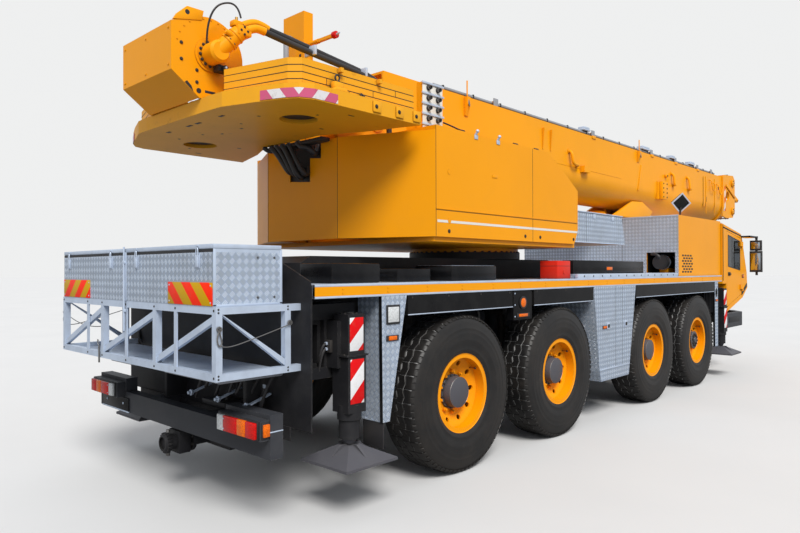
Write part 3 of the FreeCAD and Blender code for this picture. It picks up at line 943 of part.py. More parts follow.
node("boom_section_3", fuse("Section3", head_parts))

doc.recompute()

failed = [item.Name for item in doc.Objects if "Invalid" in item.State or "Error" in item.State]
for piece in nodes:
    if piece.Shape.isNull() or not piece.Shape.isValid():
        failed.append(piece.Label)
if failed:
    raise RuntimeError("Objects that failed: " + ", ".join(failed))
os.makedirs("parts", exist_ok=True)
for piece in nodes:
    piece.Shape.exportStep(os.path.join("parts", piece.Label + ".step"))
print(len(nodes), "sub-parts written")
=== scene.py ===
"""Looks of a four-axle all-terrain mobile crane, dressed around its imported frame."""

import functools
import logging
import math
import random
from dataclasses import dataclass
from enum import Enum
from typing import Iterable, Optional, Sequence

import bmesh
import bpy
from mathutils import Matrix, Vector


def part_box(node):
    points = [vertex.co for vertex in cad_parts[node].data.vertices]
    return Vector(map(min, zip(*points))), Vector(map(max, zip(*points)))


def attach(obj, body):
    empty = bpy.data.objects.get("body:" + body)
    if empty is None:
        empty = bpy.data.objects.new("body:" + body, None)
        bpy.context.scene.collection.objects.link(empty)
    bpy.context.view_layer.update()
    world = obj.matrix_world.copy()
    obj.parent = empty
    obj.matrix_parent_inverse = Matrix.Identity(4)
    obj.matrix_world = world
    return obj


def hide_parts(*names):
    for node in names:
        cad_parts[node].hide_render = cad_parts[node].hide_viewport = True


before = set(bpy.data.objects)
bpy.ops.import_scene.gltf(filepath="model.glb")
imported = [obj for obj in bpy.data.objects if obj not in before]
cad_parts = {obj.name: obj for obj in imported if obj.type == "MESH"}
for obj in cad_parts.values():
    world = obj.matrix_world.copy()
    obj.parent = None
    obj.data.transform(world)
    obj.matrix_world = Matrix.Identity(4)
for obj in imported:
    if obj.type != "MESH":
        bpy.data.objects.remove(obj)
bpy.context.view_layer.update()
LOG = logging.getLogger("crane")
Point = Sequence[float]
Colour = tuple[float, float, float]
SIDES = (("right", -1.0), ("left", 1.0))


def rgb(red: int, green: int, blue: int) -> Colour:
    """A screen colour as the linear values that a shader takes.

    Args:
        red: 0 to 255.
        green: 0 to 255.
        blue: 0 to 255.

    Returns:
        The linear colour.
    """
    parts = (value / 255 for value in (red, green, blue))
    return tuple(part / 12.92 if part <= 0.04045 else ((part + 0.055) / 1.055) ** 2.4 for part in parts)


def shade(colour: Colour, factor: float) -> Colour:
    """A colour made darker or lighter by a factor."""
    return tuple(min(1.0, part * factor) for part in colour)


class Shader:
    """A material under construction, with short calls for its nodes."""

    def __init__(self, name: str) -> None:
        """Make an empty material with one principled shader.

        Args:
            name: the material's name.
        """
        self.material = bpy.data.materials.new(name)
        self.material.use_nodes = True
        self.tree = self.material.node_tree
        self.surface = self.tree.nodes["Principled BSDF"]
        self._where = self.tree.nodes.new("ShaderNodeTexCoord")

    def add(self, kind: str, inputs: Optional[dict] = None, **settings: object) -> bpy.types.Node:
        """Add a node.

        Args:
            kind: the node's type name without its ShaderNode prefix.
            inputs: values or sockets for its inputs, by name or index.
            settings: values for its properties.

        Returns:
            The new node.
        """
        node = self.tree.nodes.new("ShaderNode" + kind)
        for key, value in settings.items():
            setattr(node, key, value)
        for key, value in (inputs or {}).items():
            self.feed(node.inputs[key], value)
        return node

    def feed(self, socket: bpy.types.NodeSocket, value: object) -> None:
        """Link a socket to another, or set its value."""
        if isinstance(value, bpy.types.NodeSocket):
            self.tree.links.new(value, socket)
        elif socket.type == "RGBA" and len(value) == 3:
            socket.default_value = (*value, 1.0)
        else:
            socket.default_value = value

    @property
    def place(self) -> bpy.types.NodeSocket:
        """The object coordinates."""
        return self._where.outputs["Object"]

    @property
    def normal(self) -> bpy.types.NodeSocket:
        """The surface's own direction, in the object's axes."""
        return self._where.outputs["Normal"]

    def scaled(self, x: float, y: float, z: float) -> bpy.types.NodeSocket:
        """The object coordinates, stretched along each axis."""
        return self.add("Mapping", {"Vector": self.place, "Scale": (x, y, z)}).outputs[0]

    def noise(self, scale: float, detail: float = 3.0, roughness: float = 0.55,
              at: Optional[bpy.types.NodeSocket] = None) -> bpy.types.NodeSocket:
        """A noise from 0 to 1.

        Args:
            scale: repeats per metre.
            detail: octaves.
            roughness: weight of the fine octaves.
            at: coordinates in place of the object's.

        Returns:
            The factor socket.
        """
        node = self.add("TexNoise", {"Vector": at or self.place, "Scale": scale, "Detail": detail,
                                     "Roughness": roughness})
        return node.outputs["Fac"]

    def ramp(self, factor: object, low: float, high: float) -> bpy.types.NodeSocket:
        """Stretch a factor so that low becomes 0 and high becomes 1."""
        return self.add("MapRange", {"Value": factor, "From Min": low, "From Max": high}).outputs["Result"]

    def math(self, operation: str, first: object, second: object = 0.0) -> bpy.types.NodeSocket:
        """A math node's result."""
        return self.add("Math", {0: first, 1: second}, operation=operation).outputs[0]

    def split(self, vector: object) -> list[bpy.types.NodeSocket]:
        """A vector's three parts."""
        return list(self.add("SeparateXYZ", {0: vector}).outputs)

    def mix(self, factor: object, first: object, second: object) -> bpy.types.NodeSocket:
        """A colour between two; a factor of 1 gives the second."""
        return self.add("Mix", {0: factor, 6: first, 7: second}, data_type="RGBA").outputs[2]

    def blend(self, factor: object, first: object, second: object) -> bpy.types.NodeSocket:
        """A number between two; a factor of 1 gives the second."""
        return self.add("Mix", {0: factor, 2: first, 3: second}, data_type="FLOAT").outputs[0]

    def bump(self, height: object, distance: float) -> None:
        """Add a bump to the surface, on top of those made before."""
        node = self.add("Bump", {"Height": height, "Distance": distance, "Strength": 1.0})
        before = self.surface.inputs["Normal"]
        if before.is_linked:
            self.feed(node.inputs["Normal"], before.links[0].from_socket)
        self.feed(before, node.outputs["Normal"])

    def crevices(self, distance: float) -> bpy.types.NodeSocket:
        """1 in corners and gaps, 0 on open surfaces."""
        light = self.add("AmbientOcclusion", {"Distance": distance}, samples=6).outputs["AO"]
        return self.ramp(light, 0.75, 0.25)

    def edges(self, radius: float) -> bpy.types.NodeSocket:
        """1 along sharp edges, 0 elsewhere."""
        rounded = self.add("Bevel", {"Radius": radius}, samples=4).outputs[0]
        plain = self.add("NewGeometry").outputs["Normal"]
        turn = self.add("VectorMath", {0: rounded, 1: plain}, operation="DOT_PRODUCT").outputs["Value"]
        return self.ramp(turn, 0.985, 0.90)

    def dress(self, **inputs: object) -> bpy.types.Material:
        """Set the shader's sockets, named with underscores for spaces.

        Args:
            inputs: a value or a socket for each.

        Returns:
            The finished material.
        """
        for key, value in inputs.items():
            self.feed(self.surface.inputs[key.replace("_", " ")], value)
        return self.material


@dataclass(frozen=True)
class Paint:
    """Sprayed paint with orange peel, road dust, painted shade in corners and worn edges."""

    colour: Colour
    dust: Colour = rgb(132, 112, 84)
    dusty: float = 0.045
    rough: float = 0.36
    crevice_shade: float = 0.55
    worn: Colour = rgb(120, 92, 60)
    wear: float = 0.35
    streaks: float = 0.0

    def make(self, name: str) -> bpy.types.Material:
        """Build the material.

        Args:
            name: the material's name.

        Returns:
            The material.
        """
        shader = Shader(name)
        cloud = shader.ramp(shader.noise(0.7, 3), 0.3, 0.7)
        coat = shader.mix(cloud, shade(self.colour, 0.93), self.colour)
        film = shader.ramp(shader.noise(2.6, 6, 0.68), 0.46, 0.78)
        film = shader.math("MULTIPLY", film, self.dusty)
        coat = shader.mix(film, coat, self.dust)
        # painted shade: a dark dust colour laid where ambient occlusion finds corners and gaps
        corner = shader.math("MULTIPLY", shader.crevices(0.07), self.crevice_shade)
        coat = shader.mix(corner, coat, shade(self.dust, 0.22))
        spots = shader.ramp(shader.noise(38, 4, 0.7), 0.50, 0.62)
        chipped = shader.math("MULTIPLY", shader.math("MULTIPLY", shader.edges(0.006), spots), self.wear)
        coat = shader.mix(chipped, coat, self.worn)
        if self.streaks:
            spot = shader.ramp(shader.noise(9, 6, 0.7, shader.scaled(1.0, 1.0, 1.6)), 0.60, 0.72)
            patch = shader.ramp(shader.noise(2.2, 3), 0.46, 0.66)
            stain = shader.math("MULTIPLY", spot, patch)
            coat = shader.mix(shader.math("MULTIPLY", stain, self.streaks), coat, rgb(140, 78, 34))
        dull = shader.math("ADD", film, chipped)
        shader.bump(shader.noise(170, 2), 0.00035)
        return shader.dress(Base_Color=coat, Roughness=shader.blend(dull, self.rough, 0.8),
                            Specular_IOR_Level=0.14, Coat_Weight=0.06, Coat_Roughness=0.12)


@dataclass(frozen=True)
class Metal:
    """Bare or plated metal, brushed a little, with dull stains and painted shade in its crevices."""

    colour: Colour
    rough: float = 0.35
    stain: Colour = rgb(70, 68, 66)
    stained: float = 0.35
    metallic: float = 0.85

    def make(self, name: str) -> bpy.types.Material:
        """Build the material.

        Args:
            name: the material's name.

        Returns:
            The material.
        """
        shader = Shader(name)
        cloud = shader.ramp(shader.noise(5, 5, 0.65), 0.42, 0.75)
        cloud = shader.math("MULTIPLY", cloud, self.stained)
        # real stain clouds joined with painted shade: the stain colour where ambient occlusion finds corners and gaps
        corner = shader.math("MULTIPLY", shader.crevices(0.04), 0.5)
        stain_and_crevice_shade = shader.math("MAXIMUM", cloud, corner)
        shader.bump(shader.noise(420, 2), 0.0002)
        return shader.dress(Base_Color=shader.mix(stain_and_crevice_shade, self.colour, self.stain), Metallic=self.metallic,
                            Roughness=shader.blend(cloud, self.rough, 0.75))


@dataclass(frozen=True)
class TreadPlate:
    """Aluminium floor plate with groups of four short bars, each group square to the next."""

    ground: Colour = rgb(150, 171, 200)
    bar_highlight: Colour = rgb(238, 246, 255)
    cell: float = 0.037
    bars: int = 4

    def make(self, name: str) -> bpy.types.Material:
        """Build the material.

        Args:
            name: the material's name.

        Returns:
            The material.
        """
        shader = Shader(name)
        x, y, z = shader.split(shader.place)
        facing = shader.split(shader.add("VectorMath", {0: shader.normal}, operation="ABSOLUTE").outputs[0])
        end = shader.math("GREATER_THAN", facing[0], 0.6)
        flat = shader.math("GREATER_THAN", facing[2], 0.6)
        along = shader.blend(end, x, y)
        up = shader.blend(flat, z, y)
        reach = 1 / (self.cell * math.sqrt(2))
        first = shader.math("MULTIPLY", shader.math("ADD", along, up), reach)
        second = shader.math("MULTIPLY", shader.math("SUBTRACT", along, up), reach)
        cells = shader.math("ADD", shader.math("FLOOR", first), shader.math("FLOOR", second))
        odd = shader.math("FLOORED_MODULO", cells, 2.0)
        inside = [shader.math("FRACT", part) for part in (first, second)]
        run = shader.blend(odd, *inside)
        side = shader.blend(odd, *reversed(inside))
        wave = shader.math("PINGPONG", shader.math("MULTIPLY", side, self.bars), 0.5)
        bar = shader.ramp(wave, 0.16, 0.30)
        ends = shader.ramp(shader.math("PINGPONG", run, 0.5), 0.04, 0.12)
        raised = shader.math("MULTIPLY", bar, ends)
        dull = shader.ramp(shader.noise(4, 5, 0.65), 0.42, 0.78)
        # painted light: bars near white as a highlight, and half as bright on the groups that lie the other way as
        # painted shade
        painted_bar_light = shader.mix(odd, shade(self.bar_highlight, 0.50), self.bar_highlight)
        plate = shader.mix(raised, self.ground, painted_bar_light)
        plate = shader.mix(shader.math("MULTIPLY", dull, 0.30), plate, rgb(120, 116, 108))
        shader.bump(raised, 0.0016)
        shader.bump(shader.noise(300, 2), 0.0002)
        return shader.dress(Base_Color=plate, Metallic=0.30, Roughness=shader.blend(dull, 0.33, 0.6))


@dataclass(frozen=True)
class Rubber:
    """Tyre or hose rubber, greyed by dust."""

    colour: Colour = rgb(38, 37, 38)
    dust: Colour = rgb(112, 100, 88)
    dusty: float = 0.30
    rough: float = 0.62

    def make(self, name: str) -> bpy.types.Material:
        """Build the material.

        Args:
            name: the material's name.

        Returns:
            The material.
        """
        shader = Shader(name)
        film = shader.ramp(shader.noise(3.4, 6, 0.68), 0.42, 0.80)
        film = shader.math("MULTIPLY", film, self.dusty)
        corner = shader.math("MULTIPLY", shader.crevices(0.03), self.dusty)
        coat = shader.mix(shader.math("MAXIMUM", film, corner), self.colour, self.dust)
        shader.bump(shader.noise(240, 3, 0.6), 0.0004)
        return shader.dress(Base_Color=coat, Roughness=shader.blend(film, self.rough, 0.9))


@dataclass(frozen=True)
class Stripes:
    """Slanted warning bands in reflective film, scratched where it is worn."""

    first: Colour
    second: Colour
    width: float = 0.15
    slope: float = 1.0
    across: int = 1
    worn: float = 0.15
    start: float = 0.0
    mapped: bool = False

    def make(self, name: str) -> bpy.types.Material:
        """Build the material.

        Args:
            name: the material's name.

        Returns:
            The material.
        """
        shader = Shader(name)
        if self.mapped:
            parts = shader.split(shader.add("UVMap", uv_map="run").outputs[0])
            along, up = shader.math("ABSOLUTE", parts[0]), parts[1]
        else:
            parts = shader.split(shader.place)
            along, up = parts[self.across], parts[2]
        sum_of = shader.math("ADD", shader.math("ADD", along, self.start), shader.math("MULTIPLY", up, self.slope))
        turn = shader.math("FLOORED_MODULO", shader.math("DIVIDE", sum_of, self.width), 2.0)
        band = shader.math("GREATER_THAN", turn, 1.0)
        film = shader.mix(band, self.first, self.second)
        scratch = shader.ramp(shader.noise(26, 6, 0.72), 0.52, 0.66)
        film = shader.mix(shader.math("MULTIPLY", scratch, self.worn), film, rgb(150, 128, 100))
        comb = shader.add("TexVoronoi", {"Vector": shader.place, "Scale": 160.0}).outputs["Distance"]
        shader.bump(comb, 0.0003)
        return shader.dress(Base_Color=film, Roughness=0.42, Specular_IOR_Level=0.15)


@dataclass(frozen=True)
class Lens:
    """Coloured lamp plastic with fine prisms behind a smooth face."""

    colour: Colour
    deep: float = 0.70

    def make(self, name: str) -> bpy.types.Material:
        """Build the material.

        Args:
            name: the material's name.

        Returns:
            The material.
        """
        shader = Shader(name)
        prisms = shader.add("TexVoronoi", {"Vector": shader.place, "Scale": 90.0}).outputs["Distance"]
        body = shader.mix(shader.ramp(prisms, 0.2, 0.7), self.colour, shade(self.colour, self.deep))
        shader.bump(prisms, 0.0006)
        return shader.dress(Base_Color=body, Roughness=0.22, Specular_IOR_Level=0.2, Coat_Weight=0.35,
                            Coat_Roughness=0.03)


@dataclass(frozen=True)
class Glass:
    """Tinted window glass with a light film of dust."""

    colour: Colour = rgb(70, 80, 84)

    def make(self, name: str) -> bpy.types.Material:
        """Build the material.

        Args:
            name: the material's name.

        Returns:
            The material.
        """
        shader = Shader(name)
        film = shader.ramp(shader.noise(6, 5, 0.7), 0.45, 0.85)
        return shader.dress(Base_Color=self.colour, Transmission_Weight=0.92, IOR=1.45,
                            Roughness=shader.blend(film, 0.02, 0.10))


@dataclass(frozen=True)
class Moulding:
    """Grained plastic or woven cloth, by its grain's scale and depth."""

    colour: Colour
    grain: float = 420.0
    depth: float = 0.0004
    rough: float = 0.55
    sheen: float = 0.0

    def make(self, name: str) -> bpy.types.Material:
        """Build the material.

        Args:
            name: the material's name.

        Returns:
            The material.
        """
        shader = Shader(name)
        cells = shader.add("TexVoronoi", {"Vector": shader.place, "Scale": self.grain}).outputs["Distance"]
        cloud = shader.ramp(shader.noise(5, 4), 0.3, 0.75)
        shader.bump(cells, self.depth)
        return shader.dress(Base_Color=shader.mix(cloud, self.colour, shade(self.colour, 1.5)),
                            Roughness=self.rough, Sheen_Weight=self.sheen)


AMBER = rgb(250, 164, 8)


class Finish(Enum):
    """The crane's finishes."""

    YELLOW = Paint(AMBER)
    BOOM = Paint(rgb(250, 166, 10), wear=0.25)
    BALLAST = Paint(rgb(244, 172, 34), dusty=0.10, rough=0.44, crevice_shade=0.8, worn=rgb(112, 62, 30), wear=0.8,
                    streaks=0.5)
    RIM = Paint(rgb(252, 160, 4), dusty=0.08, crevice_shade=0.45, wear=0.15)
    WHITE = Paint(rgb(232, 230, 222))
    FRAME = Paint(rgb(38, 38, 41), rgb(104, 102, 100), 0.16, 0.44, worn=rgb(110, 106, 102), wear=0.5)
    BLACK = Paint(rgb(20, 20, 22), rgb(104, 102, 100), 0.08, 0.22, worn=rgb(90, 88, 86), wear=0.3)
    BUMPER = Paint(rgb(60, 62, 67), rgb(112, 110, 108), 0.18, 0.42, worn=rgb(120, 118, 116), wear=0.5)
    HUB = Paint(rgb(86, 86, 92), rgb(120, 118, 116), 0.16, 0.36, worn=rgb(150, 146, 140), wear=0.4)
    RED = Paint(rgb(222, 44, 28), dusty=0.1)
    GREY = Paint(rgb(150, 156, 164), dusty=0.2, rough=0.45)
    RACK = Metal(rgb(202, 216, 236), rough=0.42, stained=0.22, metallic=0.30)
    STEEL = Metal(rgb(140, 138, 136), rough=0.42)
    CAST = Metal(rgb(66, 62, 60), rough=0.6, stained=0.6, metallic=0.5)
    CHROME = Metal(rgb(215, 218, 222), rough=0.12, stained=0.1, metallic=1.0)
    BRASS = Metal(rgb(190, 150, 80), rough=0.35)
    PLATE = TreadPlate()
    TYRE = Rubber(rgb(25, 24, 24), dusty=0.12, rough=0.46)
    GROOVE = Rubber(rgb(172, 172, 172), dusty=0.1, rough=0.9)
    HOSE = Rubber(rgb(44, 44, 47), dusty=0.15, rough=0.45)
    GLASS = Glass()
    MIRROR = Metal(rgb(200, 205, 210), rough=0.05, stained=0.05, metallic=1.0)
    PLASTIC = Moulding(rgb(34, 34, 36))
    CLOTH = Moulding(rgb(58, 60, 66), grain=700.0, depth=0.0006, rough=0.9, sheen=0.3)
    RED_LENS = Lens(rgb(222, 18, 10))
    ORANGE_LENS = Lens(rgb(255, 118, 6))
    CLEAR_LENS = Lens(rgb(226, 230, 232), deep=0.75)
    REAR_RIGHT_STRIPES = Stripes(rgb(206, 160, 0), rgb(255, 46, 6), 0.118, -1.05)
    REAR_LEFT_STRIPES = Stripes(rgb(206, 160, 0), rgb(255, 46, 6), 0.118, 1.05)
    LEG_STRIPES = Stripes(rgb(236, 236, 238), rgb(222, 14, 20), 0.135, -1.0, across=0)
    WORN_STRIPES = Stripes(rgb(206, 92, 128), rgb(226, 224, 226), 0.105, -0.75, worn=0.35, start=0.012, mapped=True)


@functools.lru_cache(maxsize=None)
def material_of(finish: Finish) -> bpy.types.Material:
    """A finish's material, made once.

    Args:
        finish: the finish.

    Returns:
        Its material.
    """
    return finish.value.make(finish.name.lower())


class Form:
    """The solids of one piece; each is made in the finish that was set last."""

    def __init__(self, finish: Finish) -> None:
        """Start an empty form.

        Args:
            finish: the finish of what is made first.
        """
        self.mesh = bmesh.new()
        self.finishes = [finish]
        self.current = 0

    def use(self, finish: Finish) -> "Form":
        """Make what follows in another finish."""
        if finish not in self.finishes:
            self.finishes.append(finish)
        self.current = self.finishes.index(finish)
        return self

    def join(self, part: bmesh.types.BMesh, bevel: float = 0.0, segments: int = 2) -> None:
        """Take in a solid, with its sharp edges rounded.

        Args:
            part: the solid, which is used up.
            bevel: the width of the rounding.
            segments: its steps.
        """
        if bevel:
            sharp = [edge for edge in part.edges if edge.is_manifold and edge.calc_face_angle() > 0.5]
            bmesh.ops.bevel(part, geom=sharp, offset=bevel, segments=segments, profile=0.5,
                            affect="EDGES", material=-1, clamp_overlap=True)
        for face in part.faces:
            face.material_index = self.current
        carrier = bpy.data.meshes.new("part")
        part.to_mesh(carrier)
        part.free()
        self.mesh.from_mesh(carrier)
        bpy.data.meshes.remove(carrier)

    def block(self, low: Point, high: Point, bevel: float = 0.0) -> None:
        """A block between its lowest and highest corners."""
        part = bmesh.new()
        size = Vector(high) - Vector(low)
        middle = (Vector(high) + Vector(low)) / 2
        bmesh.ops.create_cube(part, size=1.0, matrix=Matrix.Translation(middle) @ Matrix.Diagonal((*size, 1.0)))
        self.join(part, bevel)

    def bar(self, start: Point, end: Point, width: float, depth: float, bevel: float = 0.0) -> None:
        """A flat or square bar between two points; its depth lies as near upright as it can.

        Args:
            start: the middle of one end.
            end: the middle of the other.
            width: its size across.
            depth: its size up.
            bevel: the rounding of its edges.
        """
        run = Vector(end) - Vector(start)
        turn = run.to_track_quat("X", "Z").to_matrix().to_4x4()
        part = bmesh.new()
        bmesh.ops.create_cube(part, size=1.0, matrix=Matrix.Diagonal((run.length, width, depth, 1.0)))
        bmesh.ops.transform(part, matrix=Matrix.Translation((Vector(start) + Vector(end)) / 2) @ turn,
                            verts=part.verts)
        self.join(part, bevel)

    def rod(self, start: Point, end: Point, radius: float, tip: Optional[float] = None, sides: int = 20,
            bevel: float = 0.0) -> None:
        """A round or many-sided rod, or a cone, between two points.

        Args:
            start: the middle of one end.
            end: the middle of the other.
            radius: the radius at the start.
            tip: the radius at the end, where it differs.
            sides: how many sides it has.
            bevel: the rounding of its ends.
        """
        run = Vector(end) - Vector(start)
        turn = run.to_track_quat("Z", "Y").to_matrix().to_4x4()
        part = bmesh.new()
        bmesh.ops.create_cone(part, cap_ends=True, segments=sides, radius1=radius,
                              radius2=radius if tip is None else tip, depth=run.length)
        bmesh.ops.transform(part, matrix=Matrix.Translation((Vector(start) + Vector(end)) / 2) @ turn,
                            verts=part.verts)
        self.join(part, bevel)

    def ball(self, centre: Point, radius: float, squash: Point = (1, 1, 1)) -> None:
        """A ball, or one pressed flat along an axis."""
        part = bmesh.new()
        bmesh.ops.create_uvsphere(part, u_segments=16, v_segments=10, radius=radius,
                                  matrix=Matrix.Translation(centre) @ Matrix.Diagonal((*squash, 1.0)))
        self.join(part)

    def prism(self, axis: str, points: Iterable[Point], low: float, high: float, bevel: float = 0.0) -> None:
        """An outline pushed along an axis.

        Args:
            axis: x, y or z, the way it is pushed.
            points: the outline's corners, as its two other coordinates in X, Y, Z order.
            low: where it starts on the axis.
            high: where it ends.
            bevel: the rounding of its sharp edges.
        """
        at = "xyz".index(axis)
        part = bmesh.new()
        corners = []
        for first, second in points:
            spot = [first, second]
            spot.insert(at, low)
            corners.append(part.verts.new(spot))
        part.faces.new(corners)
        grown = bmesh.ops.extrude_face_region(part, geom=part.faces[:])
        step = Vector((0.0, 0.0, 0.0))
        step[at] = high - low
        bmesh.ops.translate(part, vec=step, verts=[item for item in grown["geom"]
                                                   if isinstance(item, bmesh.types.BMVert)])
        bmesh.ops.recalc_face_normals(part, faces=part.faces)
        self.join(part, bevel)

    def lathe(self, profile: Sequence[Point], centre: Point, axis: Point = (0, 1, 0), steps: int = 48) -> None:
        """A profile turned about an axis.

        Args:
            profile: pairs of the distance along the axis and the radius, closed if it ends where it began.
            centre: where the axis starts.
            axis: its direction.
            steps: how many steps make the turn.
        """
        part = bmesh.new()
        closed = tuple(profile[0]) == tuple(profile[-1])
        spots = profile[:-1] if closed else profile
        ring = [part.verts.new((radius, 0.0, along)) for along, radius in spots]
        for first, second in zip(ring, ring[1:] + (ring[:1] if closed else [])):
            part.edges.new((first, second))
        bmesh.ops.spin(part, geom=part.verts[:] + part.edges[:], cent=(0, 0, 0), axis=(0, 0, 1), steps=steps,
                       angle=math.tau, use_merge=True)
        bmesh.ops.remove_doubles(part, verts=part.verts, dist=1e-5)
        bmesh.ops.recalc_face_normals(part, faces=part.faces)
        turn = Vector(axis).to_track_quat("Z", "Y").to_matrix().to_4x4()
        bmesh.ops.transform(part, matrix=Matrix.Translation(centre) @ turn, verts=part.verts)
        self.join(part)

    def hose(self, points: Iterable[Point], radius: float, sides: int = 10, order: int = 4) -> None:
        """A round tube along a smooth line that starts and ends at the outer points.

        Args:
            points: the line's control points.
            radius: the tube's radius.
            sides: how many sides it has.
            order: how far the line rounds its corners, from 2.
        """
        curve = bpy.data.curves.new("line", "CURVE")
        curve.dimensions = "3D"
        spline = curve.splines.new("NURBS")
        spots = list(points)
        spline.points.add(len(spots) - 1)
        for knot, spot in zip(spline.points, spots):
            knot.co = (*spot, 1.0)
        spline.order_u = min(order, len(spots))
        spline.use_endpoint_u = True
        spline.resolution_u = 6
        curve.bevel_depth = radius
        curve.bevel_resolution = sides // 2 - 2
        curve.use_fill_caps = True
        holder = bpy.data.objects.new("line", curve)
        bpy.context.scene.collection.objects.link(holder)
        bpy.context.view_layer.update()
        drawn = bpy.data.meshes.new_from_object(holder.evaluated_get(bpy.context.evaluated_depsgraph_get()))
        part = bmesh.new()
        part.from_mesh(drawn)
        bmesh.ops.remove_doubles(part, verts=part.verts, dist=1e-6)
        bmesh.ops.recalc_face_normals(part, faces=part.faces)
        bpy.data.meshes.remove(drawn)
        bpy.data.objects.remove(holder)
        bpy.data.curves.remove(curve)
        self.join(part)

    def bolt(self, at: Point, facing: Point, size: float = 0.012, height: float = 0.008) -> None:
        """A hexagon head with a washer that sits on a surface.

        Args:
            at: the point on the surface.
            facing: the way out of it.
            size: the head's radius.
            height: how far it stands out.
        """
        out = Vector(facing).normalized()
        foot = Vector(at)
        self.rod(foot, foot + out * height * 0.3, size * 1.35, sides=12)
        self.rod(foot, foot + out * height, size, sides=6, bevel=size * 0.12)

    def bolts(self, start: Point, end: Point, count: int, facing: Point, size: float = 0.010,
              height: float = 0.007) -> None:
        """An even row of bolts from one point to another."""
        for step in range(count):
            self.bolt(Vector(start).lerp(Vector(end), step / max(1, count - 1)), facing, size, height)

    def ring(self, centre: Point, axis: Point, radius: float, count: int, size: float = 0.010,
             height: float = 0.007) -> None:
        """Bolts on a circle around a point, facing along an axis."""
        out = Vector(axis).normalized()
        spoke = out.orthogonal().normalized() * radius
        for step in range(count):
            turn = Matrix.Rotation(math.tau * (step + 0.5) / count, 3, out)
            self.bolt(Vector(centre) + turn @ spoke, out, size, height)

    def mirrored(self) -> "Form":
        """Add a copy of everything made so far on the crane's other side."""
        made = bmesh.ops.duplicate(self.mesh, geom=self.mesh.verts[:] + self.mesh.edges[:] + self.mesh.faces[:])
        verts = [item for item in made["geom"] if isinstance(item, bmesh.types.BMVert)]
        faces = [item for item in made["geom"] if isinstance(item, bmesh.types.BMFace)]
        bmesh.ops.scale(self.mesh, vec=(1, -1, 1), verts=verts)
        bmesh.ops.reverse_faces(self.mesh, faces=faces)
        return self

    def piece(self, name: str, body: str, replaces: Sequence[str] = (), angle: float = 34.0) -> bpy.types.Object:
        """Finish the form as a piece that rides on a body.

        Args:
            name: the piece's name.
            body: the body that it rides on.
            replaces: the CAD nodes that it stands for.
            angle: edges sharper than this many degrees stay sharp.

        Returns:
            The piece's object.
        """
        mesh = bpy.data.meshes.new(name)
        self.mesh.to_mesh(mesh)
        self.mesh.free()
        for finish in self.finishes:
            mesh.materials.append(material_of(finish))
        mesh.shade_smooth()
        mesh.set_sharp_from_angle(angle=math.radians(angle))
        thing = bpy.data.objects.new(name, mesh)
        bpy.context.scene.collection.objects.link(thing)
        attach(thing, body)
        if replaces:
            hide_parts(*replaces)
        LOG.info("%s on %s: %d faces", name, body, len(mesh.polygons))
        return thing


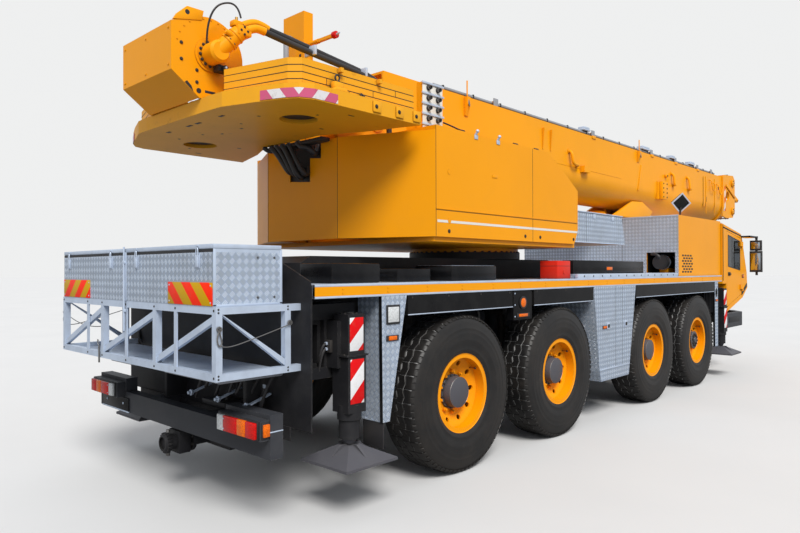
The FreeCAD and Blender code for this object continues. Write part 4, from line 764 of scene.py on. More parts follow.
@dataclass
class Wheel:
    """One wheel: the ribbed carcass with its tread blocks, and the bolts and cap on its rim."""

    axle: int
    side: str
    sign: float
    radius: float = 0.680
    bead: float = 0.3183
    pitches: int = 38
    shoulder: float = 0.050
    flat: float = 0.130
    depth: float = 0.009
    groove: float = 0.009
    zigzag: float = 0.009
    row: float = 0.075
    reach: float = 0.184

    @property
    def centre(self) -> Vector:
        """The middle of the tyre."""
        low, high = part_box(f"tyre_{self.axle}_{self.side}")
        return (low + high) / 2

    def crown(self, across: float, height: float) -> tuple[float, float]:
        """A point over the tread's curve.

        Args:
            across: the way along the curve from the middle of the tread.
            height: how far it stands over the curve.

        Returns:
            Its distance from the tyre's middle plane and its radius.
        """
        past = max(0.0, abs(across) - self.flat)
        turn = past / self.shoulder
        aside = min(abs(across), self.flat) + (self.shoulder + height) * math.sin(turn)
        out = self.radius - self.shoulder + (self.shoulder + height) * math.cos(turn)
        return math.copysign(aside, across), out

    def carcass(self, form: Form) -> None:
        """The sidewalls with their rings, and the tread's floor between the blocks."""
        wall = [(0.140, self.bead), (0.148, 0.331), (0.163, 0.352), (0.172, 0.376), (0.1735, 0.381), (0.172, 0.386),
                (0.181, 0.420), (0.1862, 0.455), (0.1873, 0.462), (0.1868, 0.470), (0.1868, 0.512), (0.1873, 0.520),
                (0.186, 0.528), (0.1835, 0.556), (0.1845, 0.561), (0.1825, 0.567), (0.178, 0.600), (0.172, 0.632)]
        wall += [self.crown(self.reach * step / 12, -self.depth) for step in (11, 10)]
        floor = [self.crown(self.reach * step / 12, -self.depth) for step in range(9, -10, -1)]
        right = [(along, out) for along, out in wall]
        left = [(-along, out) for along, out in reversed(wall)]
        form.use(Finish.TYRE).lathe(right, self.centre, steps=96)
        form.lathe(left, self.centre, steps=96)
        form.use(Finish.GROOVE).lathe([wall[-1]] + floor + [(-wall[-1][0], wall[-1][1])], self.centre, steps=96)
        form.use(Finish.TYRE).lathe([(-0.140, self.bead), (0.140, self.bead)], self.centre, steps=96)

    def plan(self, middle: float) -> list[Point]:
        """The outline of a tread block laid flat: its way round, and its way across.

        Args:
            middle: the row's place, as 0.5 for the inner one and 1.5 for the shoulder.

        Returns:
            The corners.
        """
        half = math.pi * self.radius / self.pitches - 0.0035
        inner = self.row * (middle - 0.5) + self.groove / 2
        outer = self.row * (middle + 0.5) - self.groove / 2
        wave = self.zigzag
        if middle < 1:
            return [(-half, inner - wave), (0, inner + wave), (half, inner - wave),
                    (half, outer - wave), (0, outer + wave), (-half, outer - wave)]
        edge = self.reach
        slot = 0.010
        return [(-half, inner - wave), (0, inner + wave), (half, inner - wave), (half, self.flat - 0.01),
                (half - slot / 2, edge), (slot, edge), (slot / 2, edge - 0.030), (-slot / 2, edge - 0.030),
                (-slot, edge), (slot / 2 - half, edge), (-half, self.flat - 0.01)]

    def tread(self) -> bmesh.types.BMesh:
        """One pitch of the four rows, bent to the tyre's curve about its own axis."""
        whole = bmesh.new()
        for middle in (0.5, 1.5):
            for sign in (-1, 1):
                part = bmesh.new()
                corners = [part.verts.new((around, sign * across, -self.depth)) for around, across in self.plan(middle)]
                part.faces.new(corners)
                grown = bmesh.ops.extrude_face_region(part, geom=part.faces[:])
                bmesh.ops.translate(part, vec=(0, 0, self.depth),
                                    verts=[item for item in grown["geom"] if isinstance(item, bmesh.types.BMVert)])
                bmesh.ops.recalc_face_normals(part, faces=part.faces)
                for fraction in (0.35, 0.75):
                    bend = self.flat + (self.reach - self.flat) * fraction
                    if middle > 1:
                        bmesh.ops.bisect_plane(part, geom=part.verts[:] + part.edges[:] + part.faces[:],
                                               plane_co=(0, sign * bend, 0), plane_no=(0, 1, 0))
                bmesh.ops.bisect_plane(part, geom=part.verts[:] + part.edges[:] + part.faces[:],
                                       plane_co=(0.0002, 0, 0), plane_no=(1, 0, 0))
                rim = [edge for edge in part.edges if edge.is_manifold and edge.calc_face_angle() > 0.6
                       and all(vert.co.z > -0.001 for vert in edge.verts)]
                bmesh.ops.bevel(part, geom=rim, offset=0.0022, segments=1, profile=0.5, affect="EDGES",
                                material=-1)
                shift = (0.25 if sign > 0 else 0.0) * math.tau / self.pitches
                for vert in part.verts:
                    aside, out = self.crown(vert.co.y, vert.co.z)
                    turn = vert.co.x / self.radius + shift
                    vert.co = (out * math.sin(turn), aside, out * math.cos(turn))
                carrier = bpy.data.meshes.new("pitch")
                part.to_mesh(carrier)
                part.free()
                whole.from_mesh(carrier)
                bpy.data.meshes.remove(carrier)
        return whole

    def tyre(self) -> None:
        """Make the tyre, in place of the plain solid."""
        form = Form(Finish.TYRE)
        self.carcass(form)
        form.use(Finish.TYRE)
        pitch = self.tread()
        single = bpy.data.meshes.new("pitch")
        pitch.to_mesh(single)
        pitch.free()
        for step in range(self.pitches):
            part = bmesh.new()
            part.from_mesh(single)
            turn = Matrix.Translation(self.centre) @ Matrix.Rotation(math.tau * step / self.pitches, 4, "Y")
            bmesh.ops.transform(part, matrix=turn, verts=part.verts)
            form.join(part)
        bpy.data.meshes.remove(single)
        form.piece(f"tyre_{self.axle}_{self.side}_rubber", f"wheel_{self.axle}_{self.side}",
                   (f"tyre_{self.axle}_{self.side}",))

    def hub(self) -> None:
        """Make the dark hub cap, its ring of wheel nuts, the valve and the rim's edge bead."""
        form = Form(Finish.HUB)
        out = Vector((0, self.sign, 0))
        cap = [(0.018, 0.128), (0.018, 0.150), (0.034, 0.152), (0.038, 0.148), (0.038, 0.136)]
        if self.axle == 1:
            cap += [(0.060, 0.134), (0.068, 0.126), (0.112, 0.126), (0.115, 0.122), (0.115, 0.0)]
        else:
            cap += [(0.104, 0.134), (0.113, 0.130), (0.117, 0.121), (0.119, 0.0)]
        form.lathe(cap, self.centre, out, 56)
        form.use(Finish.STEEL).lathe([(0.1095, 0.1330), (0.1120, 0.1335), (0.1145, 0.1305), (0.1120, 0.1290)],
                                     self.centre, out, 56)
        form.use(Finish.CAST).ring(self.centre + out * 0.036, out, 0.143, 16, 0.007, 0.008)
        if self.axle == 1:
            form.ring(self.centre + out * 0.114, out, 0.082, 10, 0.015, 0.020)
            form.use(Finish.HUB).rod(self.centre + out * 0.114, self.centre + out * 0.135, 0.048, tip=0.040, sides=32,
                                     bevel=0.004)
        form.use(Finish.RIM)
        for step in range(10):
            turn = Matrix.Rotation(math.tau * (step + 0.5) / 10, 3, out)
            foot = self.centre + out * 0.017 + turn @ Vector((0.176, 0, 0))
            form.rod(foot, foot + out * 0.006, 0.021, sides=20)
            form.rod(foot + out * 0.006, foot + out * 0.028, 0.0165, sides=6, bevel=0.0015)
            form.rod(foot + out * 0.028, foot + out * 0.040, 0.010, sides=12, bevel=0.001)
        form.lathe([(0.1505, 0.352), (0.1560, 0.357), (0.1575, 0.354), (0.1560, 0.340), (0.1505, 0.335)], self.centre,
                   out, 72)
        valve = self.centre + Matrix.Rotation(0.7, 3, out) @ Vector((0.288, 0, 0))
        form.use(Finish.BRASS).rod(valve + out * 0.050, valve + out * 0.105, 0.006, sides=12)
        form.use(Finish.PLASTIC).rod(valve + out * 0.105, valve + out * 0.125, 0.008, sides=12, bevel=0.001)
        form.piece(f"hub_{self.axle}_{self.side}", f"wheel_{self.axle}_{self.side}")


@dataclass
class BoomDress:
    """Pipes and guides along the boom's sides."""

    half: float = 0.375
    top: float = 3.690
    pipe: float = 0.022
    pipe_gap: float = 0.055
    rail_start: float = -4.20
    rail_end: float = 4.72
    guide_places: tuple[float, ...] = (-3.1, -0.65, 1.46, 2.53, 3.66, 4.45)

    def rails(self, form: Form) -> None:
        """Two hydraulic pipes along the top of the right flank, in clamps."""
        side = -self.half + 0.05
        for index in range(2):
            y = side + index * self.pipe_gap
            form.use(Finish.GREY).rod((self.rail_start, y, self.top + 0.035), (self.rail_end, y, self.top + 0.035),
                                      self.pipe, sides=12)
        for x in self.guide_places:
            form.use(Finish.BOOM).block((x - 0.03, side - 0.03, self.top), (x + 0.03, side + self.pipe_gap + 0.03,
                                                                           self.top + 0.06), 0.004)
            form.use(Finish.GREY).block((x - 0.045, side - 0.046, self.top - 0.05), (x + 0.045, side - 0.034,
                                                                                     self.top + 0.09), 0.003)

    def elbows(self, form: Form) -> None:
        """Short bent pipes that leave the flank and return to it."""
        skin = -self.half
        for x, z, run, drop in ((-1.38, 3.38, 0.20, 0.18), (2.30, 3.46, 0.08, 0.20), (3.05, 3.47, 0.10, 0.22)):
            form.use(Finish.BOOM).hose(((x, skin, z), (x, skin - 0.055, z), (x, skin - 0.06, z - drop * 0.9),
                                        (x + run * 0.3, skin - 0.06, z - drop), (x + run, skin - 0.055, z - drop),
                                        (x + run, skin, z - drop)), 0.020)
            for end, height in ((x, z), (x + run, z - drop)):
                form.rod((end, skin + 0.001, height), (end, skin - 0.012, height), 0.034, sides=16)

    def build(self) -> None:
        """Make the boom's pieces."""
        form = Form(Finish.GREY)
        self.rails(form)
        self.elbows(form)
        form.piece("boom_pipes", "boom_base")


@dataclass
class DeckDress:
    """The edge band along each side of the carrier's deck."""

    rear: float = -6.670
    front: float = 1.770
    half: float = 1.375
    bottom: float = 1.555
    top: float = 1.646

    def edges(self, form: Form) -> None:
        """A band between two bright profiles along each side of the deck."""
        for sign in (-1.0, 1.0):
            near, far = sign * (self.half - 0.02), sign * (self.half + 0.004)
            low, high = min(near, far), max(near, far)
            form.use(Finish.YELLOW).block((self.rear, low, self.bottom + 0.012), (self.front, high, self.top - 0.014))
            form.use(Finish.RACK).block((self.rear, low, self.top - 0.014), (self.front, high + 0.002, self.top + 0.004),
                                        0.002)
            form.block((self.rear, low, self.bottom - 0.004), (self.front, high + 0.002, self.bottom + 0.012), 0.002)

    def build(self) -> None:
        """Make the deck's pieces."""
        form = Form(Finish.YELLOW)
        self.edges(form)
        form.piece("deck_edges", "carrier")


@dataclass
class RackDress:
    """Tread plate, seals, latches, warning plates and wire ropes of the rear rack."""

    rear: float = -7.354
    front: float = -6.837
    half: float = 1.235
    low: float = 1.524
    seal: float = 1.862
    lid: float = 1.886
    top: float = 1.910
    skin: float = 0.0015
    latches: tuple[float, ...] = (1.10, 0.25, -0.19, -1.06)
    plates: tuple[tuple[float, float, Finish], ...] = ((0.665, 1.232, Finish.REAR_LEFT_STRIPES),
                                                       (-1.232, -0.663, Finish.REAR_RIGHT_STRIPES))

    def panels(self, form: Form) -> None:
        """Tread plate over the locker's walls, with a dark seal under the lids."""
        for low, high in ((0.016, self.half), (-self.half, -0.016)):
            form.use(Finish.PLATE).block((self.rear - self.skin, low, self.low), (self.rear, high, self.seal))
            form.block((self.front, low, self.low), (self.front + self.skin, high, self.seal - 0.08))
            form.use(Finish.PLASTIC).block((self.rear - 0.001, low, self.seal), (self.rear, high, self.lid - 0.003))
        form.use(Finish.RACK).block((self.rear - 0.006, -0.018, self.low), (self.rear, 0.018, self.lid), 0.002)
        form.rod((self.rear - 0.012, 0.004, 1.30), (self.rear - 0.012, 0.004, 1.925), 0.007, sides=12)
        form.block((self.rear - 0.018, -0.012, 1.44), (self.rear, 0.020, 1.462), 0.003)
        form.block((self.rear - 0.018, -0.012, 1.80), (self.rear, 0.020, 1.822), 0.003)
        for sign in (-1.0, 1.0):
            near, far = sorted((sign * self.half, sign * (self.half + self.skin)))
            form.use(Finish.PLATE).block((self.rear + 0.02, near, self.low + 0.01), (self.front - 0.02, far, self.seal))
            form.use(Finish.RACK)
            near, far = sorted((sign * self.half, sign * (self.half + 0.004)))
            form.block((self.rear, near, self.low), (self.rear + 0.02, far, self.lid - 0.003), 0.0015)
            form.block((self.front - 0.02, near, self.low), (self.front, far, self.lid - 0.003), 0.0015)
            form.block((self.rear, near, self.low - 0.004), (self.front, far, self.low + 0.012), 0.0015)
            for x in (-7.03, -6.90):
                for z in (1.57, 1.83):
                    form.use(Finish.CAST).bolt((x, sign * (self.half + self.skin), z), (0, sign, 0), 0.006, 0.004)

    def warning(self, form: Form) -> None:
        """Striped plates low on the locker's rear face, riveted at their corners."""
        for low, high, finish in self.plates:
            form.use(finish).block((self.rear - 0.005, low, 1.526), (self.rear - 0.001, high, 1.672), 0.001)
            form.use(Finish.RACK)
            for y in (low + 0.02, high - 0.02):
                form.bolts((self.rear - 0.005, y, 1.545), (self.rear - 0.005, y, 1.652), 2, (-1, 0, 0), 0.005, 0.003)

    def latch(self, form: Form, y: float) -> None:
        """A toggle latch: base, lever and the wire loop that goes up to the lid."""
        face = self.rear - self.skin
        form.use(Finish.RACK).block((face - 0.004, y - 0.027, 1.760), (face, y + 0.027, 1.856), 0.0015)
        form.block((face - 0.015, y - 0.017, 1.768), (face - 0.004, y + 0.017, 1.838), 0.003)
        form.rod((face - 0.010, y - 0.018, 1.838), (face - 0.010, y + 0.018, 1.838), 0.006, sides=10)
        form.use(Finish.RACK).hose(((face - 0.010, y - 0.012, 1.836), (face - 0.010, y - 0.012, 1.884),
                                     (face - 0.009, y, 1.893), (face - 0.010, y + 0.012, 1.884),
                                     (face - 0.010, y + 0.012, 1.836)), 0.004, 8, 3)

    def lids(self) -> None:
        """Tread plate, edge flange and latch hooks on each lid."""
        for side, sign in SIDES:
            form = Form(Finish.PLATE)
            low, high = sorted((sign * 0.004, sign * self.half))
            form.block((self.rear, low, self.top), (-6.905, high, self.top + self.skin))
            form.use(Finish.RACK).block((self.rear - 0.003, low, self.lid), (self.rear, high, self.top + 0.003), 0.001)
            near, far = sorted((sign * self.half, sign * (self.half + 0.003)))
            form.block((self.rear, near, self.lid), (self.front - 0.006, far, self.top + 0.003), 0.001)
            for y in (spot for spot in self.latches if spot * sign > 0):
                form.block((self.rear - 0.006, y - 0.014, self.lid + 0.004), (self.rear - 0.003, y + 0.014, self.top),
                           0.001)
                form.rod((self.rear - 0.009, y - 0.010, 1.902), (self.rear - 0.009, y + 0.010, 1.902), 0.004, sides=8)
            form.piece(f"rack_lid_plate_{side}", f"rack_lid_{side}")

    def carriers(self, form: Form) -> None:
        """Rounded plates under the rack, the pin on its lower rail, and rivets at its joints."""
        form.use(Finish.GREY)
        for low, high in ((-0.02, 0.43), (-1.20, -0.46)):
            form.block((-7.29, low, 1.030), (-6.80, high, 1.059), 0.012)
        form.use(Finish.STEEL).rod((-7.362, 0.47, 1.02), (-7.362, 0.47, 1.15), 0.007, sides=12)
        form.hose(((-7.362, 0.47, 1.15), (-7.366, 0.45, 1.18), (-7.366, 0.49, 1.21), (-7.364, 0.50, 1.17),
                   (-7.362, 0.472, 1.148)), 0.003, 8, 3)
        form.use(Finish.CAST)
        for sign in (-1.0, 1.0):
            for x in (-7.335, -6.81):
                for z in (1.075, 1.095, 1.485, 1.505):
                    form.bolt((x, sign * 1.265, z), (0, sign, 0), 0.005, 0.003)
        for y in (-1.242, -0.756, -0.454, 0.0, 0.431, 0.718, 1.242):
            form.bolts((self.rear, y, 1.082), (self.rear, y, 1.498), 2, (-1, 0, 0), 0.006, 0.004)

    def ropes(self, form: Form) -> None:
        """Thin wire ropes with snap hooks on the rack's ends."""
        for sign in (-1.0, 1.0):
            y = sign * 1.275
            form.use(Finish.STEEL)
            form.hose(((-7.335, y, 1.285), (-7.29, y, 1.262), (-7.18, y, 1.285), (-6.98, y, 1.335), (-6.80, y, 1.385)),
                      0.0035, 8)
            form.hose(((-7.335, y, 1.375), (-7.352, y, 1.34), (-7.345, y, 1.29), (-7.330, y, 1.275), (-7.315, y, 1.30),
                       (-7.325, y, 1.34), (-7.335, y, 1.374)), 0.0045, 8, 3)
            for x, z in ((-7.335, 1.385), (-6.80, 1.395)):
                form.lathe([(-0.004, 0.010), (-0.004, 0.018), (0.004, 0.018), (0.004, 0.010), (-0.004, 0.010)],
                           (x, y, z), steps=16)
                form.rod((x, sign * 1.262, z), (x, sign * 1.284, z), 0.006, sides=10)
        form.hose(((-7.312, 1.20, 1.34), (-7.312, 1.00, 1.29), (-7.312, 0.75, 1.27), (-7.312, 0.46, 1.31)), 0.0035, 8)

    def build(self) -> None:
        """Make the rack's pieces."""
        form = Form(Finish.PLATE)
        self.panels(form)
        self.warning(form)
        for y in self.latches:
            self.latch(form, y)
        self.carriers(form)
        self.ropes(form)
        form.piece("rack_trim", "carrier")
        self.lids()


@dataclass
class TailDress:
    """Lamps, blank plate, fittings and hoses at the rear bumper."""

    face: float = -7.07
    low: float = 0.664
    high: float = 0.770

    def lamps(self, form: Form) -> None:
        """A lens in four parts in a dark bezel at each end, and a side lamp."""
        for sign in (-1.0, 1.0):
            near, far = sorted((sign * 0.845, sign * 1.305))
            form.use(Finish.PLASTIC).block((self.face - 0.012, near, self.low - 0.008),
                                           (self.face + 0.004, far, self.high + 0.008), 0.005)
            for start, end, finish in ((0.852, 0.925, Finish.CLEAR_LENS), (0.928, 1.092, Finish.RED_LENS),
                                       (1.095, 1.190, Finish.ORANGE_LENS), (1.193, 1.298, Finish.RED_LENS)):
                near, far = sorted((sign * start, sign * end))
                form.use(finish).block((self.face - 0.034, near, self.low), (self.face - 0.010, far, self.high), 0.006)
            near, far = sorted((sign * 1.318, sign * 1.326))
            form.use(Finish.PLASTIC).block((-7.062, near, self.low), (-6.995, far, self.high), 0.003)
            near, far = sorted((sign * 1.320, sign * 1.336))
            form.use(Finish.ORANGE_LENS).block((-7.054, near, self.low + 0.012), (-7.004, far, self.high - 0.012), 0.005)
            form.use(Finish.RACK).bolts((self.face - 0.035, sign * 0.94, self.low + 0.02),
                                        (self.face - 0.035, sign * 0.94, self.high - 0.02), 2, (-1, 0, 0), 0.004, 0.002)
            near, far = sorted((sign * 1.285, sign * 1.334))
            form.block((-7.004, near, 0.697), (-6.90, far, 0.705), 0.002)

    def plate(self, form: Form) -> None:
        """The blank black plate under the left lamps, on its pale holder."""
        form.use(Finish.RACK).block((-7.012, 0.735, 0.520), (-7.002, 1.277, 0.532), 0.002)
        form.use(Finish.BLACK).block((-7.010, 0.738, 0.530), (-7.000, 1.274, 0.645), 0.003)
        form.use(Finish.RACK).bolts((-7.010, 0.84, 0.592), (-7.010, 1.17, 0.592), 2, (-1, 0, 0), 0.008, 0.005)

    def coupling(self, form: Form) -> None:
        """The tow coupling: a round jaw with a ribbed rim, a block, and a disc with a hole."""
        form.use(Finish.FRAME).lathe([(-0.070, 0.048), (-0.070, 0.058), (-0.056, 0.070), (-0.020, 0.072), (-0.006, 0.064),
                                      (0.0, 0.064)], (-7.0, 0.0, 0.404), (1, 0, 0), 32)
        for step in range(18):
            turn = math.tau * step / 18
            form.block((-7.056, math.cos(turn) * 0.074 - 0.007, 0.404 + math.sin(turn) * 0.074 - 0.007),
                       (-7.022, math.cos(turn) * 0.074 + 0.007, 0.404 + math.sin(turn) * 0.074 + 0.007), 0.003)
        form.block((-6.975, -0.085, 0.315), (-6.870, 0.085, 0.495), 0.012)
        form.lathe([(-0.014, 0.024), (-0.014, 0.098), (0.014, 0.098), (0.014, 0.024), (-0.014, 0.024)],
                   (-6.84, 0.0, 0.404), (1, 0, 0), 40)
        form.use(Finish.STEEL).rod((-7.022, 0.0, 0.300), (-7.022, 0.0, 0.505), 0.015, bevel=0.003)
        form.use(Finish.CAST).ring((-6.855, 0.0, 0.404), (-1, 0, 0), 0.080, 8, 0.011, 0.010)

    def hoses(self, form: Form) -> None:
        """Air and brake lines that hang between the rack and the bumper."""
        for index in range(7):
            y = -1.02 + index * 0.145
            low = 0.74 + 0.05 * (index % 3)
            form.use(Finish.HOSE).hose(((-6.715, y, 1.03), (-6.78, y + 0.02, 0.98), (-6.84, y + 0.05, low),
                                        (-6.80, y + 0.12, low - 0.02), (-6.74, y + 0.17, low + 0.10),
                                        (-6.705, y + 0.18, 0.90)), 0.011)
            form.use(Finish.RACK).rod((-6.703, y, 1.035), (-6.735, y, 1.020), 0.017, sides=6, bevel=0.002)
            form.rod((-6.701, y + 0.18, 0.90), (-6.722, y + 0.18, 0.90), 0.018, sides=6, bevel=0.002)
        form.use(Finish.FRAME).block((-6.90, -0.62, 0.74), (-6.71, -0.30, 0.775), 0.004)
        form.block((-6.88, 0.30, 0.70), (-6.70, 0.34, 1.02), 0.004)
        form.block((-6.86, -0.84, 0.72), (-6.70, -0.80, 1.00), 0.004)
        for y in (-0.92, -0.55, -0.16):
            form.use(Finish.RACK).lathe([(0.0, 0.0), (0.0, 0.020), (0.018, 0.024), (0.022, 0.014), (0.040, 0.012),
                                         (0.040, 0.0)], (-6.90, y, 0.80), (-1, 0, 0), 20)
            form.bar((-6.90, y, 0.80), (-6.71, y, 0.86), 0.030, 0.012, 0.002)

    def build(self) -> None:
        """Make the tail's pieces."""
        form = Form(Finish.RED_LENS)
        self.lamps(form)
        self.plate(form)
        self.coupling(form)
        self.hoses(form)
        form.piece("tail_fittings", "carrier")


@dataclass
class MudDress:
    """Tread-plate mud boxes behind the last and ahead of the first wheels, with flaps and lamps."""

    half: float = 1.375
    skin: float = 0.0015

    def rear(self, form: Form) -> None:
        """The box behind the fourth axle."""
        outline = ((-6.029, 1.553), (-6.019, 0.602), (-5.947, 0.602), (-5.753, 1.553))
        form.use(Finish.PLATE).prism("y", outline, -self.half - self.skin, -self.half)
        form.block((-6.016, -self.half + 0.002, 0.600), (-6.010, -1.10, 1.554))
        form.use(Finish.HOSE).block((-6.012, -1.370, 0.400), (-6.004, -1.150, 0.620), 0.002)
        form.use(Finish.RACK).bolts((-6.016, -1.345, 0.61), (-6.016, -1.18, 0.61), 3, (-1, 0, 0), 0.006, 0.004)
        skin = -self.half - self.skin
        form.use(Finish.PLASTIC).block((-5.985, skin - 0.010, 1.334), (-5.838, skin, 1.483), 0.006)
        form.use(Finish.CLEAR_LENS).block((-5.970, skin - 0.015, 1.350), (-5.853, skin - 0.004, 1.467), 0.008)
        form.use(Finish.PLASTIC).block((-5.986, skin - 0.008, 1.208), (-5.851, skin, 1.252), 0.004)
        form.use(Finish.ORANGE_LENS).block((-5.962, skin - 0.013, 1.214), (-5.875, skin - 0.003, 1.246), 0.004)

    def front(self, form: Form) -> None:
        """The strip ahead of the first axle, with its oval step hole as dark discs of painted shade, and its marker."""
        skin = -self.half - self.skin
        form.use(Finish.PLATE).prism("y", ((1.432, 1.553), (1.442, 0.524), (1.573, 0.524), (1.578, 1.553)), skin,
                                     -self.half)
        # two dark discs make the oval step hole: painted shade
        form.use(Finish.PLASTIC).rod((1.505, skin - 0.002, 1.400), (1.505, -self.half, 1.400), 0.046, sides=28)
        form.rod((1.505, skin - 0.002, 1.355), (1.505, -self.half, 1.355), 0.046, sides=28)
        form.block((1.448, skin - 0.006, 1.236), (1.566, skin, 1.272), 0.004)
        form.use(Finish.ORANGE_LENS).block((1.462, skin - 0.011, 1.241), (1.552, skin - 0.003, 1.267), 0.004)

    def skirts(self, form: Form) -> None:
        """The skirts' bright lower lips and the lamp box between them."""
        for rear, front in ((-5.737, -4.28), (-3.90, -2.66), (-1.515, 1.41)):
            form.use(Finish.RACK).block((rear, -self.half - 0.003, 1.393), (front, -self.half + 0.001, 1.401), 0.001)
            form.use(Finish.CAST).bolts((rear + 0.05, -self.half, 1.53), (front - 0.05, -self.half, 1.53),
                                        max(3, round((front - rear) / 0.36)), (0, -1, 0), 0.007, 0.004)
        face = -self.half + 0.010
        form.use(Finish.PLASTIC).rod((-4.09, face, 1.43), (-4.09, face - 0.010, 1.43), 0.062, sides=32, bevel=0.002)
        form.use(Finish.ORANGE_LENS).ball((-4.09, face - 0.004, 1.43), 0.050, (1, 0.28, 1))
        form.use(Finish.PLASTIC).block((-4.20, face - 0.006, 1.288), (-3.98, face, 1.330), 0.004)
        form.use(Finish.ORANGE_LENS).block((-4.165, face - 0.011, 1.295), (-4.015, face - 0.003, 1.323), 0.004)
        form.use(Finish.RACK).bolts((-4.225, face, 1.30), (-4.225, face, 1.52), 3, (0, -1, 0), 0.006, 0.004)

    def lockers(self, form: Form) -> None:
        """Tread plate in three columns on the side locker, its marker, kick band and hinges."""
        outline = ((-2.643, 1.552), (-2.508, 0.584), (-2.478, 0.462), (-1.746, 0.462), (-1.722, 0.584), (-1.529, 1.552))
        form.use(Finish.PLATE).prism("y", outline, -self.half - self.skin, -self.half)
        form.use(Finish.FRAME)
        for x, low in ((-2.10, 0.60), (-1.92, 0.60)):
            form.block((x - 0.002, -self.half - 0.0020, low), (x + 0.002, -self.half, 1.55))
        form.use(Finish.RACK).prism("y", ((-2.505, 0.600), (-2.502, 0.588), (-1.728, 0.588), (-1.725, 0.600)),
                                    -self.half - 0.006, -self.half, 0.001)
        for x in (-2.30, -1.83):
            form.block((x - 0.035, -self.half - 0.010, 1.05), (x + 0.035, -self.half, 1.13), 0.004)
            form.use(Finish.PLASTIC).block((x - 0.022, -self.half - 0.016, 1.07), (x + 0.022, -self.half - 0.008, 1.11),
                                           0.004)
            form.use(Finish.RACK)
        form.use(Finish.PLASTIC).block((-2.445, -self.half - 0.008, 1.06), (-2.325, -self.half, 1.098), 0.004)
        form.use(Finish.ORANGE_LENS).block((-2.43, -self.half - 0.013, 1.066), (-2.34, -self.half - 0.004, 1.092), 0.004)

    def build(self) -> None:
        """Make the mud boxes, skirts' trim and locker covers of both sides."""
        form = Form(Finish.PLATE)
        self.rear(form)
        self.front(form)
        self.skirts(form)
        self.lockers(form)
        form.mirrored().piece("side_covers", "carrier")


@dataclass
class LegDress:
    """Striped plates, bolts and hydraulic fittings on the outrigger legs."""

    end: str
    side: str
    sign: float

    @property
    def middle(self) -> Vector:
        """The middle of the float, which is the leg's axis."""
        low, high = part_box(f"jack_{self.end}_{self.side}")
        return (low + high) / 2

    def plates(self, form: Form) -> None:
        """Warning plates on the leg's outer face, above and below its flange."""
        x = self.middle.x
        for half, low, high in ((0.080, 1.165, 1.405), (0.086, 0.785, 1.105)):
            near, far = sorted((self.sign * (1.28 + half), self.sign * (1.28 + half + 0.003)))
            form.use(Finish.LEG_STRIPES).block((x - 0.066, near, low), (x + 0.066, far, high), 0.001)
        form.use(Finish.CAST)
        for dx in (-0.092, 0.092):
            form.bolts((x + dx, self.sign * 1.20, 1.137), (x + dx, self.sign * 1.33, 1.137), 3, (0, 0, 1), 0.008, 0.007)
        form.ring((x, self.sign * 1.28, 1.43), (0, 0, 1), 0.055, 6, 0.008, 0.007)
        form.use(Finish.FRAME).rod((x, self.sign * 1.28, 1.43), (x, self.sign * 1.28, 1.442), 0.036, sides=28,
                                   bevel=0.003)

    def fittings(self, form: Form) -> None:
        """Valve block and hoses on the leg's face toward the crane's end."""
        away = -1.0 if self.end == "rear" else 1.0
        x = self.middle.x + away * 0.086
        y = self.sign * 1.19
        form.use(Finish.CAST).block((min(x, x + away * 0.05), y - 0.035, 1.15), (max(x, x + away * 0.05), y + 0.035, 1.24),
                                    0.006)
        form.use(Finish.RACK).rod((x + away * 0.05, y, 1.215), (x + away * 0.066, y, 1.215), 0.013, sides=6)
        form.rod((x + away * 0.05, y, 1.175), (x + away * 0.066, y, 1.175), 0.013, sides=6)
        form.use(Finish.HOSE)
        for drop, z in ((0.16, 1.215), (0.22, 1.175)):
            form.hose(((x + away * 0.060, y, z), (x + away * 0.10, y, z - 0.01), (x + away * 0.11, y - self.sign * 0.03,
                                                                              z - drop),
                       (x + away * 0.05, y - self.sign * 0.10, z - drop - 0.03), (x, y - self.sign * 0.14, z - 0.05)),
                      0.010)

    def build(self) -> None:
        """Make the leg's pieces."""
        form = Form(Finish.LEG_STRIPES)
        self.plates(form)
        self.fittings(form)
        form.piece(f"leg_plates_{self.end}_{self.side}", f"beam_{self.end}_{self.side}")


